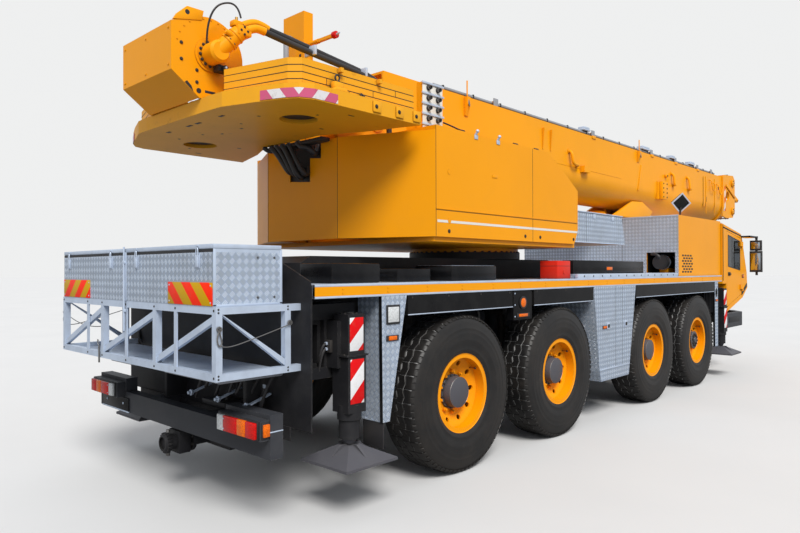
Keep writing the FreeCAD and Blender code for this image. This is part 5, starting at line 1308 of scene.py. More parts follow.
@dataclass
class WinchDress:
    """Bolts, covers, fittings and hoses of the winch."""

    x: float = -6.89
    z: float = 3.375
    half: float = 0.400

    def cheek(self, form: Form) -> None:
        """Bolt circle and bolts on the right cheek, its holes and slot as dark patches of painted shade, and the seam
        of its rim.
        """
        out = (0, -1, 0)
        form.use(Finish.CAST).ring((self.x, -self.half - 0.022, self.z), out, 0.092, 14, 0.009, 0.012)
        form.use(Finish.YELLOW).lathe([(-0.001, 0.098), (-0.001, 0.124), (0.010, 0.124), (0.010, 0.098),
                                       (-0.001, 0.098)], (self.x, -self.half, self.z), out)
        form.use(Finish.CAST)
        for x, z in ((-6.996, 3.243), (-6.996, 3.153), (-7.12, 3.30), (-7.12, 3.42), (-6.70, 3.10), (-6.66, 3.16)):
            form.bolt((x, -self.half, z), out, 0.010, 0.009)
        # dark patches for the holes and slot: painted shade
        form.use(Finish.PLASTIC).rod((-6.980, -self.half - 0.001, 3.092), (-6.980, -self.half, 3.092), 0.020, sides=24)
        form.block((-6.930, -self.half - 0.001, 3.086), (-6.842, -self.half, 3.106), 0.0004)
        form.prism("y", ((-7.095, 3.135), (-7.075, 3.150), (-7.040, 3.118), (-7.024, 3.078), (-7.046, 3.096)),
                   -self.half - 0.001, -self.half)
        for step in range(9):
            turn = math.radians(62 + step * 13)
            at = (self.x + math.cos(turn) * 0.272, -self.half, self.z + math.sin(turn) * 0.272)
            form.use(Finish.YELLOW).bolt(at, out, 0.006, 0.005)

    def motor(self, form: Form) -> None:
        """Breather, valve block and bolted joint of the bent motor."""
        form.use(Finish.PLASTIC).block((-6.875, -0.500, 3.245), (-6.785, -0.425, 3.295), 0.008)
        form.rod((-6.83, -0.505, 3.27), (-6.83, -0.528, 3.27), 0.019, sides=18, bevel=0.003)
        form.use(Finish.RACK).rod((-6.83, -0.528, 3.27), (-6.83, -0.538, 3.27), 0.009, sides=6)
        axis = Vector((0.60, -0.38, 0.70)).normalized()
        foot = Vector((self.x, -0.505, self.z))
        tip = foot + axis * 0.230
        for along, radius in ((0.115, 0.069), (0.185, 0.067)):
            form.use(Finish.YELLOW).rod(foot + axis * along, foot + axis * (along + 0.014), radius, sides=28, bevel=0.002)
        form.use(Finish.CAST).ring(foot + axis * 0.129, axis, 0.060, 8, 0.007, 0.008)
        form.use(Finish.YELLOW).block(tip + Vector((-0.045, -0.055, -0.030)), tip + Vector((0.075, 0.050, 0.045)), 0.010)
        form.block(tip + Vector((-0.060, -0.020, 0.040)), tip + Vector((0.020, 0.045, 0.085)), 0.008)
        form.use(Finish.CAST)
        form.ring(tip + Vector((0.015, 0, 0.045)), (0, 0, 1), 0.034, 4, 0.007, 0.007)
        form.ring(tip + Vector((0.010, -0.055, 0.005)), (0, -1, 0), 0.028, 4, 0.007, 0.007)
        form.use(Finish.BRASS).rod(tip + Vector((-0.02, 0.01, 0.085)), tip + Vector((-0.02, 0.01, 0.115)), 0.011, sides=6)
        form.use(Finish.YELLOW).rod(tip + Vector((-0.06, -0.01, -0.045)), tip + Vector((-0.125, -0.01, -0.020)), 0.020,
                                    bevel=0.003)

    def hoses(self, form: Form) -> None:
        """Elbows and two thick hoses forward to the hood, their ties, and a thin line arched over the motor."""
        runs = (((-6.700, -0.620, 3.560), (-6.655, -0.630, 3.585), (-6.610, -0.640, 3.590), (-6.560, -0.645, 3.580)),
                ((-6.720, -0.575, 3.600), (-6.640, -0.580, 3.650), (-6.560, -0.590, 3.650), (-6.500, -0.600, 3.625)))
        form.use(Finish.YELLOW)
        for run in runs:
            form.hose(run, 0.031, 14, 3)
        form.use(Finish.HOSE)
        form.hose((runs[0][-1], (-6.35, -0.660, 3.545), (-6.00, -0.680, 3.500), (-5.70, -0.690, 3.470),
                   (-5.38, -0.690, 3.430), (-5.24, -0.680, 3.330), (-5.22, -0.670, 2.975)), 0.025, 14)
        form.hose((runs[1][-1], (-6.30, -0.615, 3.600), (-5.98, -0.630, 3.550), (-5.66, -0.635, 3.515),
                   (-5.34, -0.630, 3.480), (-5.18, -0.620, 3.370), (-5.16, -0.610, 2.975)), 0.025, 14)
        form.hose(((self.x - 0.04, -0.428, self.z + 0.078), (-6.955, -0.47, 3.55), (-6.93, -0.50, 3.70),
                   (-6.84, -0.54, 3.765), (-6.75, -0.57, 3.76), (-6.735, -0.585, 3.655)), 0.0075, 8)
        form.use(Finish.RACK)
        for x, z in ((-6.12, 3.543), (-5.55, 3.488)):
            form.block((x - 0.012, -0.720, z - 0.045), (x + 0.012, -0.585, z + 0.032), 0.004)

    def cover(self, form: Form) -> None:
        """Lug and bolts of the drum's rear cover."""
        form.use(Finish.YELLOW).prism("y", ((-7.185, 3.575), (-7.155, 3.625), (-7.075, 3.700), (-6.940, 3.700),
                                            (-6.955, 3.625)), -0.406, -0.378, 0.004)
        # a dark disc for the lug's hole: painted shade
        form.use(Finish.PLASTIC).rod((-7.075, -0.407, 3.655), (-7.075, -0.377, 3.655), 0.018, sides=20)
        form.use(Finish.YELLOW)
        for y in (-0.36, 0.0, 0.36):
            form.bolts((-7.200, y, 3.25), (-7.200, y, 3.52), 2, (-1, 0, 0), 0.008, 0.006)

    def rope(self, form: Form) -> None:
        """The rope wound on the drum, in two layers of turns."""
        form.use(Finish.STEEL)
        for layer, radius in enumerate((0.160, 0.176)):
            for step in range(34 - layer):
                y = -0.335 + step * 0.0198 + layer * 0.0099
                form.lathe([(-0.0095, radius - 0.006), (-0.007, radius + 0.006), (0.0, radius + 0.0095),
                            (0.007, radius + 0.006), (0.0095, radius - 0.006)], (self.x, y, self.z), steps=40)

    def build(self) -> None:
        """Make the winch's pieces."""
        form = Form(Finish.CAST)
        self.cheek(form)
        self.motor(form)
        self.hoses(form)
        self.cover(form)
        form.piece("winch_fittings", "superstructure")
        form = Form(Finish.STEEL)
        self.rope(form)
        form.piece("winch_rope", "winch_drum")


@dataclass
class BallastDress:
    """Warning band, seams and lifting gear of the counterweight."""

    low: float = 2.930
    step: float = 0.050
    top: float = 3.240
    band: tuple[float, float] = (2.938, 3.004)
    route: tuple[tuple[float, float], ...] = ((-6.842, 0.990), (-6.772, 1.170), (-6.711, 1.261), (-6.610, 1.306),
                                              (-6.395, 1.306))

    def stripes(self, side: str, sign: float) -> None:
        """A thin band round the plate's rear corner, its pattern mapped along it."""
        mesh = bmesh.new()
        chart = mesh.loops.layers.uv.new("run")
        travelled = [0.0]
        for first, second in zip(self.route, self.route[1:]):
            travelled.append(travelled[-1] + math.dist(first, second))
        corner = travelled[2]
        rows = [[mesh.verts.new((x - 0.0025, sign * (y + 0.0025), z)) for x, y in self.route] for z in self.band]
        for index in range(len(self.route) - 1):
            ring = [rows[0][index], rows[0][index + 1], rows[1][index + 1], rows[1][index]]
            face = mesh.faces.new(ring if sign < 0 else ring[::-1])
            for loop in face.loops:
                spot = [vert for vert in rows[0] + rows[1]].index(loop.vert) % len(self.route)
                loop[chart].uv = (travelled[spot] - corner, loop.vert.co.z - self.band[0])
        bmesh.ops.recalc_face_normals(mesh, faces=mesh.faces)
        bmesh.ops.solidify(mesh, geom=mesh.faces[:], thickness=0.002)
        made = bpy.data.meshes.new(f"ballast_band_{side}")
        mesh.to_mesh(made)
        mesh.free()
        made.materials.append(material_of(Finish.WORN_STRIPES))
        thing = bpy.data.objects.new(f"ballast_band_{side}", made)
        bpy.context.scene.collection.objects.link(thing)
        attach(thing, "superstructure")

    def seams(self, form: Form) -> None:
        """Dark joints between the slabs, and upright joints in the lower layers."""
        form.use(Finish.FRAME)
        for layer in range(4):
            z = 3.040 + layer * self.step
            form.prism("z", ((-6.8695, -0.560), (-6.7115, -1.131), (-6.6405, -1.2065), (-5.480, -1.2065),
                             (-5.480, -0.560)), z - 0.0025, z + 0.0025)
        for x, layer in ((-6.20, 1), (-5.95, 2), (-5.70, 3), (-6.42, 2)):
            z = 3.040 + layer * self.step
            form.block((x, -1.2065, z - self.step), (x + 0.004, -1.205, z))

    def gear(self, form: Form) -> None:
        """Lifting hook and ring on the slabs, bolts, and the stops on the plate's side."""
        form.use(Finish.BALLAST)
        form.block((-6.39, -1.262, 3.040), (-6.30, -1.215, 3.118), 0.006)
        form.prism("y", ((-6.42, 3.040), (-6.27, 3.040), (-6.30, 3.070), (-6.39, 3.070)), -1.290, -1.206, 0.004)
        form.use(Finish.CAST).hose(((-6.345, -1.238, 3.112), (-6.375, -1.240, 3.150), (-6.345, -1.243, 3.178),
                                    (-6.315, -1.240, 3.150), (-6.345, -1.238, 3.112)), 0.007, 10, 3)
        form.hose(((-6.08, -1.212, 3.09), (-6.105, -1.228, 3.070), (-6.08, -1.236, 3.045), (-6.055, -1.228, 3.070),
                   (-6.08, -1.212, 3.09)), 0.007, 10, 3)
        form.use(Finish.BALLAST)
        for x in (-6.05, -5.80, -5.60):
            form.block((x, -1.318, 2.945), (x + 0.085, -1.304, 3.030), 0.005)
        form.use(Finish.CAST)
        for x in (-6.02, -5.77, -5.57):
            form.bolt((x, -1.318, 2.987), (0, -1, 0), 0.012, 0.008)
        for x, y in ((-6.60, -0.72), (-6.60, -1.00), (-5.65, -0.72), (-5.65, -1.05)):
            form.use(Finish.YELLOW).lathe([(0.0, 0.0), (0.0, 0.040), (0.012, 0.040), (0.026, 0.022), (0.045, 0.022),
                                           (0.050, 0.016), (0.050, 0.0)], (x, y, self.top), (0, 0, 1), 24)

    def underside(self, form: Form) -> None:
        """Slots and small holes in the plate's underside, as dark patches of painted shade."""
        # dark patches and a dark disc: painted shade in the slots and holes
        form.use(Finish.PLASTIC)
        for x, y, long, wide in ((-6.80, -0.42, 0.060, 0.014), (-6.80, 0.07, 0.075, 0.014), (-6.55, -0.30, 0.020, 0.010),
                                 (-6.60, -0.62, 0.022, 0.012), (-6.12, -1.14, 0.016, 0.030), (-6.31, -0.97, 0.024, 0.010),
                                 (-5.98, -0.62, 0.020, 0.020), (-6.45, -0.15, 0.030, 0.010)):
            form.block((x - wide, y - long / 2, self.low - 0.001), (x + wide, y + long / 2, self.low), 0.0004)
        form.rod((-6.32, -0.75, self.low + 0.034), (-6.32, -0.75, self.low + 0.044), 0.149, sides=48)

    def build(self) -> None:
        """Make the counterweight's pieces."""
        for side, sign in SIDES:
            self.stripes(side, sign)
        form = Form(Finish.FRAME)
        self.seams(form)
        self.gear(form)
        self.underside(form)
        form.mirrored().piece("ballast_trim", "superstructure")


@dataclass
class HoodDress:
    """Seams, stripe, tread plate, couplers and hoses of the superstructure's hood."""

    half: float = 1.300
    rear: float = -5.310
    front: float = -2.880

    def sides(self, form: Form) -> None:
        """The pale stripe, the crease with a dark line of painted shadow under it, seams and bolts of the right flank.
        """
        skin = -self.half
        form.use(Finish.WHITE).prism("y", ((-5.290, 2.151), (-2.884, 2.151), (-2.876, 2.173), (-5.290, 2.173)),
                                     skin - 0.0015, skin)
        form.use(Finish.YELLOW).block((self.rear + 0.004, skin - 0.005, 2.262), (self.front - 0.002, skin, 2.272), 0.002)
        form.use(Finish.FRAME)
        form.block((-3.802, skin - 0.0015, 2.032), (-3.798, skin, 2.968))
        form.block((self.rear + 0.001, skin - 0.0015, 2.032), (self.rear + 0.005, skin, 2.968))
        # a dark line under the crease: painted shadow
        form.block((self.rear + 0.004, skin - 0.001, 2.254), (self.front - 0.002, skin, 2.257))
        form.use(Finish.CAST)
        for x in (-5.134, -3.939, -3.66, -2.97):
            form.bolt((x, skin, 2.080), (0, -1, 0), 0.013, 0.008)
        form.use(Finish.YELLOW).block((-4.50, skin - 0.005, 2.605), (-4.42, skin, 2.630), 0.002)

    def tail(self, form: Form) -> None:
        """Seams on the coned rear corners, a dark sheet painted as the shade in the stepped opening, and hoses in it.
        """
        form.use(Finish.FRAME)
        for y in (-0.458, 0.592):
            form.block((-5.6665, y - 0.002, 2.032), (-5.6645, y + 0.002, 2.926))
        # a dark sheet at the back of the opening: painted shade
        form.use(Finish.PLASTIC).block((-5.640, -0.455, 2.40), (-5.632, 0.455, 2.925))
        for index, (y, low) in enumerate(((-0.16, 2.80), (-0.03, 2.62), (0.05, 2.60), (0.13, 2.63), (0.20, 2.66),
                                          (0.30, 2.86))):
            form.use(Finish.HOSE).hose(((-5.80 - 0.01 * index, y + 0.10, 2.925), (-5.79, y + 0.06, 2.86), (-5.76, y, low + 0.09),
                                        (-5.71, y - 0.03, low), (-5.66, y - 0.02, low + 0.02),
                                        (-5.634, y, low + 0.10)), 0.022 if index % 2 else 0.028, 12)
        form.use(Finish.CAST).block((-5.80, -0.40, 2.895), (-5.70, 0.42, 2.929), 0.006)

    def top(self, form: Form) -> None:
        """Hooks along the top edge, a vent box and the hinges of the covers."""
        form.use(Finish.RACK)
        for x in (-4.747, -4.403):
            form.block((x - 0.026, -1.306, 2.925), (x + 0.026, -1.300, 2.965), 0.002)
            form.rod((x, -1.292, 2.962), (x, -1.318, 2.992), 0.011, sides=14, bevel=0.003)
            form.ball((x, -1.318, 2.996), 0.016)
        form.use(Finish.FRAME)
        for x in (-4.95, -4.10, -3.72):
            form.block((x, -1.285, 2.970), (x + 0.070, -1.255, 2.982), 0.004)
            form.rod((x, -1.270, 2.983), (x + 0.070, -1.270, 2.983), 0.008, sides=12)
        for step in range(7):
            form.block((-4.62 + step * 0.075, -0.92, 2.970), (-4.582 + step * 0.075, -0.60, 2.986), 0.004)

    def couplers(self, form: Form) -> None:
        """Five rows of dark quick couplers on their pale block, with a thin line leaving it."""
        form.use(Finish.WHITE).block((-5.138, -1.006, 2.972), (-4.862, -1.000, 3.428), 0.003)
        for row in range(5):
            z = 3.015 + row * 0.092
            form.use(Finish.RACK).block((-5.15, -1.016, z + 0.030), (-4.85, -1.004, z + 0.050), 0.003)
            for x in (-5.065, -4.935):
                form.use(Finish.PLASTIC).lathe([(-0.004, 0.0), (-0.004, 0.024), (0.010, 0.024), (0.014, 0.017),
                                                (0.040, 0.017), (0.040, 0.009), (0.028, 0.009), (0.028, 0.0)],
                                               (x, -1.006, z), (0, -1, 0), 24)
                form.use(Finish.STEEL).lathe([(0.018, 0.017), (0.018, 0.020), (0.028, 0.020), (0.028, 0.017),
                                              (0.018, 0.017)], (x, -1.006, z), (0, -1, 0), 24)
        form.use(Finish.PLASTIC).hose(((-4.87, -1.02, 3.10), (-4.78, -1.06, 3.075), (-4.64, -1.12, 3.02),
                                       (-4.56, -1.16, 2.975)), 0.008, 8)

    def toolbox(self, form: Form) -> None:
        """Tread plate over the tool box ahead of the hood, with a pale roof and a seam."""
        form.use(Finish.PLATE).prism("y", ((-2.87, 2.062), (-1.522, 2.062), (-1.602, 2.408), (-2.87, 2.408)), -1.2315,
                                     -1.230)
        form.bar((-1.5198, -0.845, 2.062), (-1.5998, -0.845, 2.408), 0.765, 0.003)
        form.use(Finish.RACK).block((-2.90, -1.242, 2.408), (-1.588, -0.462, 2.420), 0.003)
        form.block((-2.87, -1.234, 2.058), (-1.516, -1.229, 2.070), 0.001)
        form.use(Finish.FRAME).block((-2.548, -1.2325, 2.065), (-2.544, -1.2310, 2.406))
        form.use(Finish.RACK)
        for x in (-2.35, -1.86):
            form.block((x - 0.03, -1.240, 2.345), (x + 0.03, -1.231, 2.400), 0.003)

    def post(self, form: Form) -> None:
        """The red lamp on the rear post's arm, its tip, and the pipe beside the post."""
        form.use(Finish.RED_LENS).rod((-5.91, -0.690, 3.7125), (-5.91, -0.735, 3.7125), 0.030, sides=24, bevel=0.006)
        form.use(Finish.RACK).rod((-5.91, -0.735, 3.7125), (-5.91, -0.775, 3.718), 0.009, tip=0.006, sides=12)
        form.use(Finish.YELLOW).rod((-5.91, -0.365, 3.7125), (-5.91, -0.500, 3.7125), 0.021, sides=18)
        form.use(Finish.GREY).rod((-6.03, -0.20, 3.19), (-6.03, -0.20, 3.74), 0.024, sides=18, bevel=0.002)
        form.hose(((-6.03, -0.20, 3.74), (-6.03, -0.20, 3.80), (-5.99, -0.20, 3.81), (-5.955, -0.20, 3.80)), 0.008, 8, 3)
        form.use(Finish.CAST)
        for z in (3.35, 3.62):
            form.bolts((-5.960, -0.31, z), (-5.960, -0.12, z), 2, (-1, 0, 0), 0.010, 0.008)

    def build(self) -> None:
        """Make the hood's pieces."""
        form = Form(Finish.WHITE)
        self.sides(form)
        form.mirrored()
        self.tail(form)
        self.top(form)
        self.couplers(form)
        self.toolbox(form)
        self.post(form)
        form.piece("hood_trim", "superstructure")


@dataclass
class HousingDress:
    """Tread plate, slots and lamp of the engine housing behind the cab."""

    rear: float = 0.120
    front: float = 1.960
    half: float = 1.300
    top: float = 2.540

    def plates(self, form: Form) -> None:
        """Tread plate over the rear face, round the recess and the cylinder's trough, and on the roof."""
        form.use(Finish.PLATE)
        for near, far, low, high in ((-1.298, -1.250, 1.660, self.top), (-1.250, -0.830, 2.000, self.top),
                                     (-1.250, -0.830, 1.660, 1.700), (-0.830, -0.240, 1.660, self.top),
                                     (-0.240, 0.240, 1.660, 2.215), (0.240, 1.298, 1.660, self.top)):
            form.block((self.rear - 0.0015, near, low), (self.rear, far, high))
        for sign in (-1.0, 1.0):
            near, far = sorted((sign * 0.245, sign * 1.10))
            form.block((self.rear + 0.05, near, self.top), (1.90, far, self.top + 0.002))
        form.use(Finish.FRAME).block((self.rear - 0.0025, -0.459, 1.66), (self.rear - 0.001, -0.455, self.top))
        form.use(Finish.RACK).block((self.rear - 0.006, -1.298, self.top - 0.014), (self.rear + 0.02, -0.242, self.top + 0.003),
                                    0.002)
        form.block((self.rear - 0.006, 0.242, self.top - 0.014), (self.rear + 0.02, 1.298, self.top + 0.003), 0.002)
        for y in (-1.16, -0.62):
            form.bolts((self.rear - 0.0015, y, 2.10), (self.rear - 0.0015, y, 2.46), 3, (-1, 0, 0), 0.007, 0.004)

    def slots(self, form: Form) -> None:
        """Staggered air slots in each side wall, drawn as dark patches of painted shade."""
        for sign in (-1.0, 1.0):
            near, far = sorted((sign * self.half, sign * (self.half + 0.001)))
            # dark patches on the wall: painted shade for the inside of the slots
            form.use(Finish.PLASTIC)
            for column in range(4):
                for row in range(7):
                    x, z = 0.250 + column * 0.105 + row % 2 * 0.050, 1.700 + row * 0.040
                    form.block((x, near, z), (x + 0.072, far, z + 0.025), 0.0004)

    def can(self, form: Form) -> None:
        """A dark lining that paints the recess's shade, and bands and inlet of the air cleaner in it."""
        # dark sheets on the recess's back and walls: painted shade
        form.use(Finish.PLASTIC).block((0.700, -1.262, 1.688), (0.705, -0.818, 2.012))
        for y in (-1.262, -0.820):
            form.block((0.127, y, 1.688), (0.700, y + 0.002, 2.012))
        for z in (1.688, 2.010):
            form.block((0.127, -1.260, z), (0.700, -0.820, z + 0.002))
        form.lathe([(0.0, 0.0), (0.0, 0.1058), (0.4815, 0.1058), (0.4815, 0.0)], (0.1293, -1.040, 1.855), (1, 0, 0), 40)
        form.lathe([(0.0, 0.0), (0.0, 0.085), (-0.016, 0.100), (-0.030, 0.104), (-0.030, 0.0)],
                                       (0.100, -1.040, 1.855), (1, 0, 0), 40)
        form.use(Finish.RACK)
        for x in (0.20, 0.42):
            form.lathe([(0.0, 0.105), (0.0, 0.109), (0.020, 0.109), (0.020, 0.105), (0.0, 0.105)],
                       (x, -1.040, 1.855), (1, 0, 0), 40)
        form.use(Finish.HOSE).hose(((0.09, -1.04, 1.905), (0.055, -1.04, 1.96), (0.07, -0.96, 1.985), (0.14, -0.90, 1.975)),
                                   0.024, 12)

    def lamp(self, form: Form) -> None:
        """The work lamp on its stand above the housing, turned to the rear."""
        foot = Vector((0.98, -1.00, self.top))
        head = foot + Vector((0.0, -0.02, 0.255))
        form.use(Finish.PLASTIC).rod(foot, foot + Vector((0, 0, 0.012)), 0.045, sides=24, bevel=0.002)
        form.rod(foot, head - Vector((0, 0, 0.07)), 0.014, sides=14)
        turn = Vector((-0.62, -0.74, -0.26)).normalized()
        form.lathe([(-0.13, 0.0), (-0.13, 0.06), (-0.06, 0.13), (0.004, 0.160), (0.010, 0.160), (0.010, 0.0)],
                   head, turn, 4)
        form.use(Finish.RACK).lathe([(0.006, 0.138), (0.006, 0.164), (0.020, 0.164), (0.020, 0.138), (0.006, 0.138)],
                                    head, turn, 4)
        form.use(Finish.GLASS).lathe([(0.009, 0.0), (0.009, 0.136), (0.014, 0.130), (0.018, 0.0)], head, turn, 4)

    def build(self) -> None:
        """Make the housing's pieces."""
        form = Form(Finish.PLATE)
        self.plates(form)
        self.slots(form)
        self.can(form)
        self.lamp(form)
        form.piece("housing_trim", "carrier")


@dataclass
class BoomTrim:
    """Flange, weld lines, clips and small parts along the boom."""

    half: float = 0.375
    top: float = 3.690

    def flank(self, form: Form) -> None:
        """Weld lines, plates, the bolted front flange and dark patches of painted shade for small holes on the right
        flank.
        """
        skin = -self.half
        form.use(Finish.BOOM)
        form.hose(((-1.69, skin, 3.180), (-0.6, skin, 3.176), (0.27, skin, 3.170)), 0.004, 6)
        form.hose(((-4.9, skin, 3.215), (-3.2, skin, 3.214), (-1.75, skin, 3.212)), 0.004, 6)
        for x in (-0.65, 1.46, 2.53, 3.66):
            form.block((x - 0.055, skin - 0.012, 3.655), (x + 0.055, skin + 0.002, 3.700), 0.003)
        form.use(Finish.FRAME).block((3.935, skin - 0.001, 3.02), (3.950, skin, 3.57))
        # dark patches for holes near the flange: painted shade
        form.use(Finish.PLASTIC)
        for step in range(5):
            form.block((3.958, skin - 0.0015, 3.265 + step * 0.070), (3.994, skin, 3.300 + step * 0.070), 0.0004)
        form.block((4.130, skin - 0.0015, 3.100), (4.156, skin, 3.200), 0.0004)
        form.use(Finish.BOOM).block((1.73, skin - 0.075, 2.965), (1.95, skin + 0.002, 3.265), 0.006)
        form.use(Finish.CAST).bolts((1.765, skin - 0.075, 3.00), (1.765, skin - 0.075, 3.23), 4, (0, -1, 0), 0.011, 0.008)
        form.bolts((1.915, skin - 0.075, 3.00), (1.915, skin - 0.075, 3.23), 4, (0, -1, 0), 0.011, 0.008)
        form.use(Finish.BOOM).rod((2.02, skin, 3.39), (2.02, skin - 0.045, 3.39), 0.030, sides=24, bevel=0.004)
        form.use(Finish.CAST).bolt((2.02, skin - 0.045, 3.39), (0, -1, 0), 0.013, 0.008)
        form.use(Finish.BOOM)
        for x in (4.10, 4.62, 5.06):
            form.block((x - 0.011, skin - 0.010, 2.86), (x + 0.011, skin, 3.60), 0.003)
        form.prism("y", ((0.10, 2.590), (1.42, 2.590), (1.62, 2.740), (1.20, 2.880), (0.80, 2.860), (0.40, 2.700)), -0.315,
                   -0.275, 0.004)
        form.bar((0.885, skin - 0.004, 3.04), (1.010, skin - 0.004, 3.46), 0.020, 0.030, 0.004)
        # dark patches for holes: painted shade
        for x in (4.86, 5.10):
            form.use(Finish.PLASTIC).block((x - 0.024, skin - 0.001, 3.40), (x + 0.024, skin, 3.46), 0.0004)

    def clips(self, form: Form) -> None:
        """Clips on the long pipes, the folded ladder hooks and the cable tray's brackets."""
        side = -self.half + 0.05
        for step in range(17):
            x = -4.05 + step * 0.54
            form.use(Finish.GREY).block((x - 0.012, side - 0.028, self.top + 0.004), (x + 0.012, side + 0.083, self.top + 0.012),
                                        0.002)
            form.use(Finish.PLASTIC).block((x - 0.010, side - 0.027, self.top + 0.010), (x + 0.010, side + 0.082,
                                                                                     self.top + 0.062), 0.006)
        form.use(Finish.RACK)
        for x, run in ((-0.84, 0.10), (1.23, 0.16), (2.42, 0.10), (3.38, 0.13)):
            form.block((x - run, side - 0.05, self.top + 0.062), (x + run, side + 0.10, self.top + 0.085), 0.004)
            form.block((x - run + 0.02, side - 0.048, self.top + 0.084), (x + run - 0.02, side + 0.06, self.top + 0.115), 0.010)
        for x in (-3.70, 0.88):
            form.use(Finish.STEEL).hose(((x, -0.418, 3.655), (x + 0.012, -0.428, 3.60), (x, -0.434, 3.56),
                                         (x - 0.010, -0.430, 3.60), (x, -0.418, 3.653)), 0.006, 8, 3)
            form.use(Finish.BOOM).rod((x, -0.400, 3.69), (x, -0.400, 3.86), 0.008, sides=10)

    def rods(self, form: Form) -> None:
        """Bent grab rods near the boom's front end."""
        form.use(Finish.BOOM)
        for x, wide, low, high in ((4.30, 0.20, 3.34, 3.55), (4.74, 0.16, 3.30, 3.50)):
            form.hose(((x, -self.half, high), (x, -self.half - 0.055, high), (x, -self.half - 0.060, low),
                       (x + wide, -self.half - 0.060, low), (x + wide, -self.half - 0.055, high - 0.04),
                       (x + wide, -self.half, high - 0.04)), 0.010, 10, 3)

    def build(self) -> None:
        """Make the boom's further pieces."""
        form = Form(Finish.BOOM)
        self.flank(form)
        self.rods(form)
        form.mirrored()
        self.clips(form)
        form.piece("boom_trim", "boom_base")


@dataclass
class HeadDress:
    """Warning plates, strut and rope guards at the boom's head."""

    half: float = 0.270

    def build(self) -> None:
        """Make the head's pieces."""
        form = Form(Finish.LEG_STRIPES)
        for sign in (-1.0, 1.0):
            near, far = sorted((sign * self.half, sign * (self.half + 0.004)))
            form.use(Finish.LEG_STRIPES).block((5.54, near, 3.02), (5.66, far, 3.56), 0.001)
            form.use(Finish.BOOM)
            for z in (3.04, 3.66):
                form.rod((6.13, sign * 0.268, z), (6.13, sign * 0.300, z), 0.080, sides=32, bevel=0.005)
                form.use(Finish.CAST).ring((6.13, sign * 0.300, z), (0, sign, 0), 0.055, 6, 0.010, 0.008)
                form.use(Finish.BOOM)
            form.bar((5.70, sign * 0.285, 3.58), (6.28, sign * 0.285, 3.36), 0.018, 0.050, 0.003)
            form.bar((6.28, sign * 0.12, 3.60), (7.20, sign * 0.045, 3.36), 0.016, 0.040, 0.003)
            form.use(Finish.CAST).bolts((5.60, sign * (self.half + 0.004), 3.05), (5.60, sign * (self.half + 0.004), 3.53), 3,
                                        (0, sign, 0), 0.007, 0.004)
        form.use(Finish.STEEL)
        for x, z in ((6.30, 3.52), (6.30, 3.19), (5.98, 3.84), (5.98, 2.88)):
            form.rod((x, -0.228, z), (x, 0.228, z), 0.012, sides=14)
        form.use(Finish.BOOM).rod((7.29, -0.058, 3.39), (7.29, 0.058, 3.39), 0.034, sides=24, bevel=0.004)
        form.use(Finish.CAST).bolt((7.29, -0.058, 3.39), (0, -1, 0), 0.014, 0.008)
        form.bolt((7.29, 0.058, 3.39), (0, 1, 0), 0.014, 0.008)
        form.use(Finish.PLASTIC).block((6.24, -0.10, 3.76), (6.32, 0.10, 3.80), 0.010)
        form.piece("head_trim", "boom_section_3")


